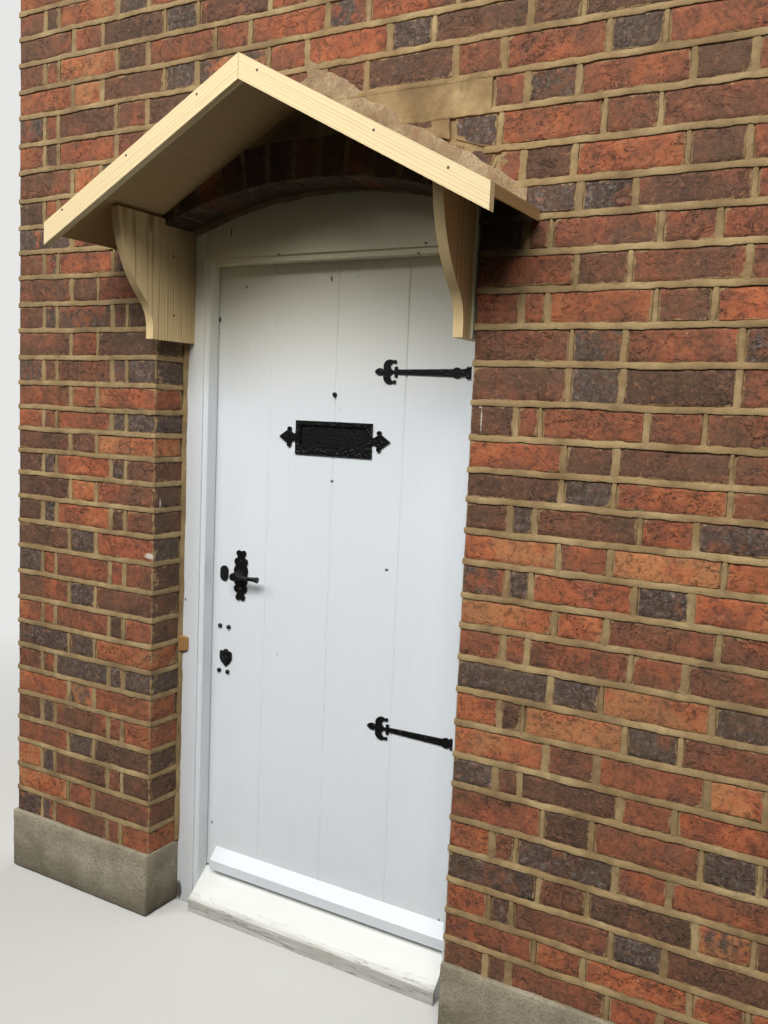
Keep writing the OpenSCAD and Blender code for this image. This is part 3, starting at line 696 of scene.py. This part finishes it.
# The same over the doorway, by course and by a place that the brick covers
OVER_MARKS = {
    (23, 0.6): "S", (24, 0.6): "M", (25, 0.43): "U", (25, 0.6): "O", (26, 0.52): "R", (27, 0.11): "N",
    (27, 0.26): "D", (28, 0.11): "O", (28, 0.26): "U", (28, 0.4): "M",
}


def marked(marks, k, i):
    """The letters of one brick, for its face and its side in the reveal, or none."""
    faces, _, side = marks.get(k, "").partition("/")
    letter = faces[i:i + 1].strip(".")
    return letter + side if letter and i == len(faces) - 1 else letter


def bed(k, right=False):
    """Height of the middle of bed k."""
    z = PLINTH + k * GAUGE
    if 0 < k < len(LEFT_DEV):
        z += 0.001 * (RIGHT_DEV[k] if right else LEFT_DEV[k])
    if PIER_COURSES <= k < COURSES:
        z += 0.001 * OVER_DEV[k - PIER_COURSES]
    return z


def fit(a, b, widths):
    """Bricks from a to b of these widths, where the one that is None takes what is left."""
    free = (b - a) - JOINT * (len(widths) - 1) - sum(w for w in widths if w)
    out = []
    for w in widths:
        w = w or free
        out.append((a, a + w))
        a += w + JOINT
    return out


def run(a, b, header_first):
    """Bricks from a to b in Flemish bond, cut to fit at the far end."""
    widths = [HEADER, CLOSER] if header_first else []
    total = b - a
    used = sum(widths) + JOINT * len(widths)
    kinds = [STRETCHER, HEADER]
    while used < total - 0.02:
        w = min(kinds[0], total - used)
        kinds.reverse()
        if total - used - w < 0.04:
            w = total - used
        widths.append(w)
        used += w + JOINT
    return fit(a, b, widths[:-1] + [None])


def over_run(k):
    """A course right across the wall above the doorway."""
    odd = k % 2 == 1
    row = run(LEFT_END + INSET, RIGHT_END - INSET, odd if k > 26 else not odd)
    if k > 26:
        return row
    right_row = run(LEFT_END + INSET, RIGHT_END - INSET, odd)
    return [r for r in row if r[1] < -0.1] + [r for r in right_row if r[0] > 0.1]


def tone_of(header, rng, marks="", middle=0.54):
    """Front and side tone of one brick: (place on the colour scale, burnt share, chance)."""
    chance = rng.random()
    scale = min(1, max(0, rng.gauss(middle, 0.22)))
    burnt = rng.uniform(0.5, 0.8) if rng.random() < (0.3 if header else 0.06) else 0.0
    if marks:
        return (*KINDS[marks[0]], chance), (*KINDS[marks[-1]], chance)
    return ((scale, burnt, chance),) * 2


def cut_back(verts, faces, edges, planes):
    """Cuts a brick by planes and closes it. Returns None where little is left."""
    bm = bmesh.new()
    layer = bm.verts.layers.float.new("edge")
    vs = [bm.verts.new(v) for v in verts]
    for v, e in zip(vs, edges):
        v[layer] = e
    for f in faces:
        bm.faces.new([vs[i] for i in f])
    for point, normal in planes:
        geom = bm.verts[:] + bm.edges[:] + bm.faces[:]
        res = bmesh.ops.bisect_plane(bm, geom=geom, plane_co=point, plane_no=normal, clear_outer=True)
        cut = [e for e in res["geom_cut"] if isinstance(e, bmesh.types.BMEdge)]
        for e in cut:
            for v in e.verts:
                v[layer] = 0.0
        if cut:
            bmesh.ops.holes_fill(bm, edges=cut)
    bm.verts.index_update()
    small = sum(f.calc_area() for f in bm.faces) < 0.012
    faces = [[v.index for v in f.verts] for f in bm.faces]
    out = ([v.co.copy() for v in bm.verts], faces, [v[layer] for v in bm.verts])
    bm.free()
    return None if small else out


def lay_brick(shape, x0, x1, y0, y1, z0, z1, tones, planes=None, plain=False):
    """One brick, worn and a little turned, and cut by planes. Plain bricks are on the wall's back."""
    rng = random.Random(f"{x0:.3f} {y0:.3f} {z0:.3f}")
    steps, band = ((0.12, 0.12, 0.12), 1.0) if plain else ((0.045, 0.06, 0.045), 0.013)
    size = (x1 - x0 - 0.001, y1 - y0 - 0.0008, z1 - z0 + rng.uniform(-0.0012, 0.001))
    wear, seed = rng.uniform(0.7, 1.5), rng.uniform(0, 90)
    verts, faces, edges, sides = worn_box(size, steps=steps, band=band, wear=wear, seed=seed)
    tilt, lean = rng.uniform(-0.006, 0.006), rng.uniform(-0.007, 0.007)
    turn = rng.uniform(-0.003, 0.003) * min(1, 0.1 / size[0])
    middle = ((x0 + x1) / 2, (y0 + y1) / 2 + rng.uniform(-0.0003, 0.001), (z0 + z1) / 2)
    verts = place(verts, middle, (tilt, lean, turn))
    if planes:
        left = cut_back(verts, faces, edges, planes)
        if left:
            shape.add(left[0], left[1], [tones[0]] * len(left[1]), left[2])
        return
    shape.add(verts, faces, [tones[0]] * (len(faces) - sides) + [tones[1]] * sides, edges)


def lay_course(bricks, mortar, row, k, right=False, marks=None, clip=None):
    """One course of bricks, front and back, and its upright joints."""
    y0, y1 = FRONT + INSET, BACK - INSET
    z0 = PLINTH - 0.004 if k == 0 else bed(k, right) + 0.0046
    z1 = TOP - 0.0005 if k == COURSES - 1 else bed(k + 1, right) - 0.0046
    for i, (a, b) in enumerate(row):
        header = b - a < LONG
        own = marked(marks or {}, k, i)
        for (course, x), letter in OVER_MARKS.items():
            if clip and course == k and a < x < b:
                own = letter
        tones = tone_of(header, rng, own)
        planes = clip(a, b, z0, z1) if clip else None
        if planes == "drop":
            continue
        if header:
            lay_brick(bricks, a, b, y0, y1, z0, z1, tones, planes)
        else:
            lay_brick(bricks, a, b, y0, y0 + LEAF, z0, z1, tones, planes)
            lay_brick(bricks, a, b, y1 - LEAF, y1, z0, z1, tone_of(False, rng), planes, plain=True)
    for (a, b), (c, d) in zip(row, row[1:]):
        x = (b + c) / 2
        reach = math.hypot(x, (z0 + z1) / 2 - ARCH_Z)
        if c - b > 0.05 or clip and bed(PATCH_TOP - 2) < z0 < bed(PATCH_TOP) and abs(x) < PATCH:
            continue
        if clip and reach < RING_R + 0.03 and abs(x) < HALF + 0.06:
            continue
        perpend(mortar, x, FRONT, (0, -1), z0 - 0.002, z1 + 0.002, k)
        perpend(mortar, x, BACK, (0, 1), z0 - 0.002, z1 + 0.002, k, step=0.03)


def clip_to_ring(a, b, z0, z1):
    """Cuts a brick back from the arch: a list of planes, None or "drop"."""
    low = bed(PATCH_TOP - 2) < z0 < bed(PATCH_TOP - 1) and -PATCH < (a + b) / 2 < PATCH
    high = bed(PATCH_TOP - 1) < z0 < bed(PATCH_TOP) and -PATCH < (a + b) / 2 < 0.46
    if high and b > 0.5:
        return [(Vector((0.486, 0, 0)), Vector((-1, 0, 0)))]
    if low or high:
        return "drop"
    reach = RING_R + 0.006
    corners = [Vector((x, z - ARCH_Z)) for x in (a, b) for z in (z0, z1)]
    inner = Vector(((a + b) / 2, (z0 + z1) / 2 - ARCH_Z))
    low_mid = Vector((inner.x, z0 - ARCH_Z))

    def inside(p, slack):
        return p.length < reach and abs(math.atan2(p.x, p.y)) < ARCH_A + slack

    if not any(inside(c, 0.006) for c in corners) and not inside(low_mid, 0):
        return None
    side = 1 if inner.x > 0 else -1
    end = Vector((math.cos(ARCH_A) * side, -math.sin(ARCH_A)))
    if inner.length < reach and max(c.dot(end) for c in corners) > 0.03:
        p = end * 0.006
        return [(Vector((p.x, 0, ARCH_Z + p.y)), Vector((-end.x, 0, -end.y)))]
    if inner.length < reach - 0.012:
        return "drop"
    d = inner.normalized()
    return [(Vector((d.x * reach, 0, ARCH_Z + d.y * reach)), Vector((-d.x, 0, -d.y)))]


def arc_points(r, a0, a1, n):
    return [(r * math.sin(a), ARCH_Z + r * math.cos(a)) for a in spread(a0, a1, n)]


rng = random.Random(7)  # one stream of chance for all the brickwork


def build_pier(node, side, marks):
    """The pier left (-1) or right (1) of the doorway: bricks, beds and upright joints."""
    right = side > 0
    reveal, end = side * HALF, RIGHT_END if right else LEFT_END
    bricks = Shape()
    lo, hi = sorted((reveal + side * CORE, end - side * CORE))
    mortar = core([(lo, PLINTH), (hi, PLINTH), (hi, SPRING), (lo, SPRING)])
    path = [((reveal, -0.004), (-side, 0)), ((reveal, FRONT), (-side, -1)), ((end, FRONT), (side, -1)),
            ((end, BACK), (side, 1)), ((reveal + side * 0.004, BACK), (0, 1))]
    for k in range(PIER_COURSES):
        widths = [STRETCHER, None, STRETCHER] if k % 2 else [HEADER, CLOSER, None, CLOSER, HEADER]
        row = fit(LEFT_END + INSET, -HALF - INSET, widths)
        if right:
            row = run(HALF + INSET, RIGHT_END - INSET, k in RIGHT_HEADERS)
        lay_course(bricks, mortar, row, k, right, marks)
        a, b = row[-1] if right else row[0]
        if b - a > LONG:
            z0, z1 = bed(k, right), bed(k + 1, right)
            perpend(mortar, end, (FRONT + BACK) / 2, (side, 0), z0, z1, k, step=0.02)
        if k:
            bed_joint(mortar, path[::side], bed(k, right), (50 if right else 0) + k * 3.1)
    bricks.make(f"{node}_bricks", BRICK, "brick", replaces=[node])
    mortar.make(f"{node}_mortar", MORTAR, "brick")


build_pier("left_pier", -1, LEFT_MARKS)
build_pier("right_pier", 1, RIGHT_MARKS)

# Wall over the doorway, cut round the ring of bricks
outline = [(LEFT_END + CORE, SPRING), (-HALF - CORE, SPRING)] + arc_points(RING_R, -ARCH_A, ARCH_A, 28)
outline += [(HALF + CORE, SPRING), (RIGHT_END - CORE, SPRING)]
outline += [(RIGHT_END - CORE, TOP - 0.001), (LEFT_END + CORE, TOP - 0.001)]
bricks, mortar = Shape(), core(outline)
for k in range(PIER_COURSES, COURSES):
    row = over_run(k)
    if k == PIER_COURSES:
        row = fit(LEFT_END + INSET, -HALF - INSET, [STRETCHER, None, STRETCHER])
        row += run(HALF + INSET, RIGHT_END - INSET, False)
    lay_course(bricks, mortar, row, k, clip=clip_to_ring)
    z = bed(k)
    ends = [((LEFT_END, FRONT), (-1, -1)), ((LEFT_END, BACK), (-1, 1)),
            ((RIGHT_END, BACK), (1, 1)), ((RIGHT_END, FRONT), (1, -1))]
    rise = z - ARCH_Z
    if rise > RING_R:
        start = [((0.0, FRONT), (0, -1))]
        bed_joint(mortar, (start + ends + start)[::-1], z, k * 2.3)
        continue
    gap = min(math.sqrt(RING_R ** 2 - rise ** 2), rise * math.tan(ARCH_A))
    left = [((-gap, FRONT), (0, -1))] + ends[:2] + [((-gap, BACK), (0, 1))]
    right = [((gap, BACK), (0, 1))] + ends[2:] + [((gap, FRONT), (0, -1))]
    if z < SPRING:
        left = [((-HALF, -0.004), (1, 0)), ((-HALF, FRONT), (1, -1))] + left[1:]
        right = right[:-1] + [((HALF, FRONT), (-1, -1)), ((HALF, -0.004), (-1, 0))]
    bed_joint(mortar, left[::-1], z, k * 2.3)
    bed_joint(mortar, right[::-1], z, k * 2.9)
bricks.make("wall_over_bricks", BRICK, "brick", replaces=["wall_over"])
mortar.make("wall_over_mortar", MORTAR, "brick")

# Ring of half bricks on end
RING_COUNT = 13
outline = arc_points(ARCH_R + CORE, -ARCH_A, ARCH_A, 24) + arc_points(RING_R, ARCH_A, -ARCH_A, 24)
bricks, mortar = Shape(), core(outline)
for i in range(RING_COUNT):
    a = ARCH_A * 2 * ((i + 0.5) / RING_COUNT - 0.5)
    own = random.Random(900 + i)
    size = (0.0645, BACK - FRONT - 2 * INSET, 0.1)
    verts, faces, edges, sides = worn_box(size, wear=1.2, seed=own.uniform(0, 90))
    r = ARCH_R + 0.053
    middle = (math.sin(a) * r, (FRONT + BACK) / 2 + own.uniform(-0.0005, 0.001), ARCH_Z + math.cos(a) * r)
    # Darker tones for the ring, as painted shade under the canopy
    tone = tone_of(False, own, middle=0.25)[0]
    bricks.add(place(verts, middle, (0, a, 0)), faces, [tone] * len(faces), edges)
bricks.make("brick_arch_ring", BRICK, "brick", replaces=["brick_arch"])
mortar.make("brick_arch_mortar", MORTAR, "brick")


# Rendered plinths
def plinth(node):
    """A block with rounded edges and an uneven skin."""
    lo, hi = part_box(node)
    size, mid = hi - lo, (lo + hi) / 2
    r = 0.006
    grid = [grid_lines(s / 2, r, 0.022, 1.0) for s in size]
    keys, quads = lattice(*(len(g) - 1 for g in grid))
    out = []
    for key in keys:
        p = Vector([grid[a][key[a]] for a in range(3)])
        q = Vector([max(-s / 2 + r, min(s / 2 - r, c)) for s, c in zip(size, p)])
        d = p - q
        if d.length > 1e-9:
            way = d.normalized()
            p = q + way * r
            at = p + mid
            p -= way * max(0.0, 0.0012 + noise.noise(at * 30) * 0.0014 + noise.noise(at * 9) * 0.0012)
        if key[2] == len(grid[2]) - 1:
            p.z -= max(0.0, noise.noise((p + mid) * 14) * 0.006)
        out.append(p + mid)
    shape = Shape()
    shape.add(out, quads)
    shape.make(f"{node}_render", CEMENT, "render", replaces=[node], smooth=60)


plinth("left_plinth")
plinth("right_plinth")


# Mortar pointed round the frame, from the plinths to the brackets, and along the head
BRACKET_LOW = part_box("left_bracket")[0].z
GAP = 0.0004  # clear of the frame's face
mortar = Shape()
for side in (-1, 1):
    rings = []
    for i in range(131):
        z = PLINTH + 0.002 + (BRACKET_LOW - PLINTH - 0.004) * i / 130
        stand = max(0.0006, 0.0042 + 0.0034 * wave(side, 0, z, 9, 4) + 0.0012 * wave(side, 0, z, 45, 2))
        depth = 0.013 + 0.005 * wave(side, 1, z, 12, 8)
        x = side * HALF
        rings.append([(x - side * out, -y, z) for out, y in (
            (-0.004, depth), (0.0001, depth), (stand * 0.7, 0.0035), (stand, GAP), (-0.004, GAP))])
    loft(mortar, rings)
rings = []
for i in range(85):
    a = ARCH_A * (-0.94 + 1.87 * i / 84)
    share = i / 84
    hang = max(0.0012, 0.011 - 0.008 * min(1, share * 1.6) + 0.003 * wave(a * 1.3, 0, 0, 26, 5))
    low = ARCH_R - hang
    rings.append([(math.sin(a) * r, -y, ARCH_Z + math.cos(a) * r) for r, y in (
        (ARCH_R + 0.006, 0.017), (ARCH_R - hang * 0.25, 0.016), (low, 0.004), (low, GAP),
        (ARCH_R + 0.006, GAP))])
loft(mortar, rings)
mortar.make("frame_pointing", MORTAR, "brick")

# Mortar wiped over the wall above the canopy, and filled in over the crown of the arch
mortar = Shape()


def roof_band(x0, x1, w0, w1, seed):
    """A band of wiped mortar along the canopy, from w0 to w1 wide."""
    n = round(abs(x1 - x0) / 0.010)
    rings = []
    for x, width in zip(spread(x0, x1, n), spread(w0, w1, n)):
        foot = ROOF_TOP - ROOF_SLOPE * abs(x) + 0.0006
        w = max(0.006, width * (1 + 0.22 * wave(x, 0, 0, 20, seed)))
        lift = 0.0004 * wave(x, 0, 0, 40, seed + 3)
        rings.append([(x, FRONT + y, foot + w * share) for share, y in (
            (0, 0.01), (0, 0.0006), (0.4, 0.0008 + lift), (0.8, 0.0014 - lift), (1, 0.0034), (1, 0.01))])
    loft(mortar, rings)


roof_band(0.0, 0.57, 0.07, 0.03, 3.0)
roof_band(-0.585, 0.0, 0.022, 0.03, 8.0)
mortar.make("wiped_mortar", WIPED, "brick")


def crown_fill(shape, x0, x1, foot, high, seed):
    """Flush mortar from foot(x) up to a height, ragged at its ends."""
    rings = []
    for x in spread(x0, x1, round((x1 - x0) / 0.012)):
        low = foot(x)
        ring = [(x, FRONT + 0.012, low)]
        for z in spread(low, high, 6):
            y = FRONT + INSET - 0.0014 + 0.0009 * wave(x, 0, z, 24, seed)
            ring.append((x + 0.004 * wave(x, 0, z, 45, seed + 2), y, z))
        rings.append(ring + [(x, FRONT + 0.012, high)])
    loft(shape, rings)


def over_ring(x):
    return ARCH_Z + math.sqrt(RING_R ** 2 - x * x) + 0.003


fill = Shape()
crown_fill(fill, -PATCH, 0.382, over_ring, bed(26) + 0.002, 6.0)
crown_fill(fill, -PATCH, 0.478, lambda x: bed(26) - 0.004, bed(27) - 0.004, 9.0)
fill.make("crown_fill", MORTAR, "brick")
fragment = Shape()
lay_brick(fragment, 0.262, 0.358, FRONT + 0.0012, FRONT + 0.05, 2.064, 2.101, [(*KINDS["M"], 0.3)] * 2)
fragment.make("brick_fragment", BRICK, "brick")

# Paint and bevels for the nodes that are carried over: material, bevel, segments and nodes
for material, bevel, segments, nodes in (
    (FRAME_PAINT, 0.0018, 2, "left_jamb right_jamb"),
    (HEAD_PAINT, 0.0018, 2, "frame_head"),
    (SILL_PAINT, 0.004, 3, "door_sill"),
    (STRIP_PAINT, 0.0008, 2, "packing_strip"),
    (DOOR_PAINT, 0.0012, 2, "door_board_1 door_board_2 door_board_3 door_board_4"),
    (LEDGE_PAINT, 0.003, 2, "bottom_ledge middle_ledge top_ledge"),
    (LEDGE_PAINT, 0.005, 3, "weatherboard"),
    (STEEL, 0.0004, 2, "hinge_plates hinge_straps"),
    (PINE_R, 0.001, 2, "right_barge_board"),
    (PINE_L, 0.001, 2, "left_barge_board"),
    (PINE_UP, 0.0012, 2, "left_bracket right_bracket"),
    (PLY, 0.0006, 2, "left_roof_panel right_roof_panel"),
    (IRON, 0.0008, 2, "letter_flap handle_plate latch_cover keyhole_plate door_studs door_viewer"),
    (IRON, 0.0016, 3, "lever_handle"),
    (ROUGH_IRON, 0.0012, 2, "letter_plate"),
    (IRON, 0.0014, 2, "upper_hinge_front lower_hinge_front"),
):
    for node in nodes.split():
        NODES[node].data.materials.clear()
        NODES[node].data.materials.append(material)
        add_bevel(NODES[node], bevel, segments)

# A wooden wedge between the frame and the left pier
WEDGE_Z = 0.774
wedge = Shape()
rings = []
for share, deep, tall in ((0, 0.0155, 0.022), (0.5, 0.011, 0.0205), (1, 0.0055, 0.018)):
    x = -HALF + 0.0005 + 0.026 * share
    rings.append([(x, -deep, WEDGE_Z - tall), (x, -GAP, WEDGE_Z - tall),
                  (x, -GAP, WEDGE_Z + tall), (x, -deep, WEDGE_Z + tall * 0.93)])
loft(wedge, rings)
add_bevel(wedge.make("frame_wedge", WEDGE_WOOD, "pine"), 0.0012)

# Nail heads in the brackets
nails = Shape()
for y, z in ((-0.088, 1.842), (-0.083, 1.688)):
    dome(nails, (-0.438, y, z), (1, 0, 0), 0.0034, 0.0005)
    dome(nails, (0.433, y, z), (-1, 0, 0), 0.0034, 0.0005)
nails.make("bracket_nails", NAIL, "hinge_steel")

# Domed heads of the studs, screws and viewer on the door
lo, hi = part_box("handle_plate")
PLATE = lo.y
SPINDLE_X, SPINDLE_Z = (lo.x + hi.x) / 2, (lo.z + hi.z) / 2
lo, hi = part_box("door_studs")
heads = Shape()
for x in (lo.x + 0.006, hi.x - 0.006):
    for z in (lo.z + 0.006, hi.z - 0.006):
        dome(heads, (x, PLATE, z), (0, -1, 0), 0.0062, 0.0036, 20, 4)
lo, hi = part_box("door_viewer")
dome(heads, (0, PLATE, (lo.z + hi.z) / 2), (0, -1, 0), 0.0056, 0.0012, 20, 3)
for node in ("upper_hinge_front", "lower_hinge_front"):
    lo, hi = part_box(node)
    middle = (lo.z + hi.z) / 2
    for x, z in ((hi.x - 0.018, 0.011), (hi.x - 0.018, -0.011), (hi.x - 0.09, 0), (lo.x + 0.1, 0),
                 (lo.x + 0.02, 0)):
        dome(heads, (x, PLATE, middle + z), (0, -1, 0), 0.0044, 0.0018)
dome(heads, (SPINDLE_X, PLATE, SPINDLE_Z + 0.041), (0, -1, 0), 0.0034, 0.0012)
heads.make("door_heads", IRON, "black_iron", body="door")
screw = Shape()
dome(screw, (SPINDLE_X, PLATE, SPINDLE_Z - 0.037), (0, -1, 0), 0.0034, 0.0012)
screw.make("copper_screw", COPPER, "black_iron", body="door")

# Rough cast relief along the lower rim of the letter plate, and a few lumps at its top
lo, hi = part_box("letter_plate")
flap_lo, flap_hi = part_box("letter_flap")
own = random.Random(31)
relief = Shape()
for z0, z1, count in ((lo.z + 0.004, flap_lo.z - 0.003, 44), (flap_hi.z + 0.001, hi.z - 0.002, 9)):
    for i in range(count):
        x = flap_lo.x + (flap_hi.x - flap_lo.x) * (i + own.random()) / count
        z = own.uniform(z0, z1)
        radius, height = own.uniform(0.002, 0.0036), own.uniform(0.0006, 0.0014)
        dome(relief, (x, lo.y, z), (0, -1, 0), radius, height, 10, 3)
relief.make("letter_plate_relief", ROUGH_IRON, "black_iron", body="door")

# Shield over the keyhole, hung from its pin and pointed at its foot
lo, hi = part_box("keyhole_cover")
pin_x, pin_z = (lo.x + hi.x) / 2, hi.z - 0.007
half_w, drop = (hi.x - lo.x) / 2, hi.z - lo.z
side_points = []
for i in range(17):
    z = -drop + 0.007 + (drop - 0.0005) * i / 16
    share = max(0.0, (-0.010 - z) / (drop - 0.017))
    w = half_w * math.cos(math.pi / 2 * share ** 1.2) - 0.0035 * max(0.0, z) / 0.007
    side_points.append((max(0.0006, w), z))
top_points = [(0.010, 0.0058), (0.0, 0.007), (-0.010, 0.0058)]
around = side_points + top_points + [(-x, z) for x, z in reversed(side_points)]
PIN_HOLE = 0.003
shield = Shape()
rings = []
for x, z in around:
    way = Vector((x, z)).normalized()
    rings.append([(pin_x + dx, y, pin_z + dz) for dx, y, dz in (
        (way.x * PIN_HOLE, hi.y, way.y * PIN_HOLE), (way.x * PIN_HOLE, lo.y, way.y * PIN_HOLE),
        (x * 0.86, lo.y, z * 0.86), (x, lo.y + 0.0009, z), (x, hi.y, z))])
loft(shield, rings, closed=True)
dome(shield, (pin_x, lo.y, pin_z - 0.016), (0, -1, 0), 0.009, 0.0016, 20, 4)
shield.make("keyhole_shield", IRON, "black_iron", body="cover", replaces=["keyhole_cover"])

# Rounded ends of the two levers
lo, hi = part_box("lever_handle")
caps = Shape()
for y, out, at in ((lo.y, -1, lo.y + 0.007), (hi.y, 1, hi.y - 0.007)):
    dome(caps, (SPINDLE_X, y - out * 0.0003, SPINDLE_Z), (0, out, 0), 0.0106, 0.0002, 20, 3)
    dome(caps, (hi.x - 0.0006, at, SPINDLE_Z), (1, 0, 0), 0.0082, 0.0006, 20, 4)
caps.make("lever_caps", IRON, "black_iron", body="lever")

# Camera, floor and light
FOCAL, PHOTO_HEIGHT = 941, 1024  # in pixels


def camera():
    """The photograph's viewpoint, found from the brick courses."""
    cam = bpy.data.cameras.new("camera")
    cam.sensor_width = 36.0
    cam.lens = FOCAL / PHOTO_HEIGHT * cam.sensor_width
    cam.clip_start, cam.clip_end = 0.05, 60
    ob = link("camera", cam)
    yaw, pitch, roll = (math.radians(a) for a in (29.78, 5.91, 2.41))
    turn = Matrix.Rotation(yaw, 4, "Z") @ Matrix.Rotation(QUARTER - pitch, 4, "X")
    ob.matrix_world = Matrix.Translation((1.343, -2.018, 1.448)) @ turn @ Matrix.Rotation(roll, 4, "Z")
    bpy.context.scene.camera = ob


TARGET = Vector((0, 0, 1.0))  # what the lights are turned to


def area(name, power, size, at, colour):
    lamp = bpy.data.lights.new(name, "AREA")
    lamp.energy = power
    lamp.shape = "RECTANGLE"
    lamp.size, lamp.size_y = size
    lamp.color = colour
    ob = link(name, lamp)
    ob.location = at
    ob.rotation_euler = (TARGET - Vector(at)).to_track_quat("-Z", "Y").to_euler()


BACKDROP = [0.8, 0.8, 0.79]


def floor():
    """A plain pale floor that runs into the backdrop, and throws little light back up."""
    me = bpy.data.meshes.new("floor")
    corners = [(x, y, -0.0005) for x, y in ((-9, -9), (9, -9), (9, 9), (-9, 9))]
    me.from_pydata(corners, [], [(0, 1, 2, 3)])
    ob = link("floor", me)
    t = Tree("floor_pale")
    seen = t.new("LightPath").outputs["Is Camera Ray"]
    far = t.times(seen, t.step(t.length(t.coord), 1.6, 4.0))
    t.base = t.mix(seen, (70, 70, 68), (206, 205, 201))
    t.lay((0, 0, 0), far)
    glow = {"Emission Color": BACKDROP, "Emission Strength": far, "Specular IOR Level": 0.0}
    me.materials.append(t.done(0.95, **glow))


def backdrop(strength):
    """A faint warm light from all round, and the pale backdrop that only the camera sees."""
    world = bpy.data.worlds.new("studio")
    bpy.context.scene.world = world
    world.use_nodes = True
    nt = world.node_tree
    nt.nodes.clear()
    kinds = ("OutputWorld", "Background", "Background", "LightPath", "MixShader")
    out, lit, seen, path, mix = [nt.nodes.new("ShaderNode" + kind) for kind in kinds]
    lit.inputs[0].default_value = (1.0, 0.98, 0.93, 1)
    lit.inputs[1].default_value = strength
    seen.inputs[0].default_value = (*BACKDROP, 1)
    nt.links.new(path.outputs["Is Camera Ray"], mix.inputs[0])
    nt.links.new(lit.outputs[0], mix.inputs[1])
    nt.links.new(seen.outputs[0], mix.inputs[2])
    nt.links.new(mix.outputs[0], out.inputs[0])


camera()
floor()
backdrop(0.07)
area("key", 740, (6.0, 3.0), (1.7, -5.6, 7.0), (1.0, 0.985, 0.96))
area("behind", 240, (5.0, 3.0), (0.0, 6.0, 5.0), (1.0, 1.0, 1.0))
area("fill", 260, (4.0, 3.0), (-3.4, -5.0, 6.0), (0.96, 0.98, 1.0))
bpy.context.scene.view_settings.view_transform = "Standard"
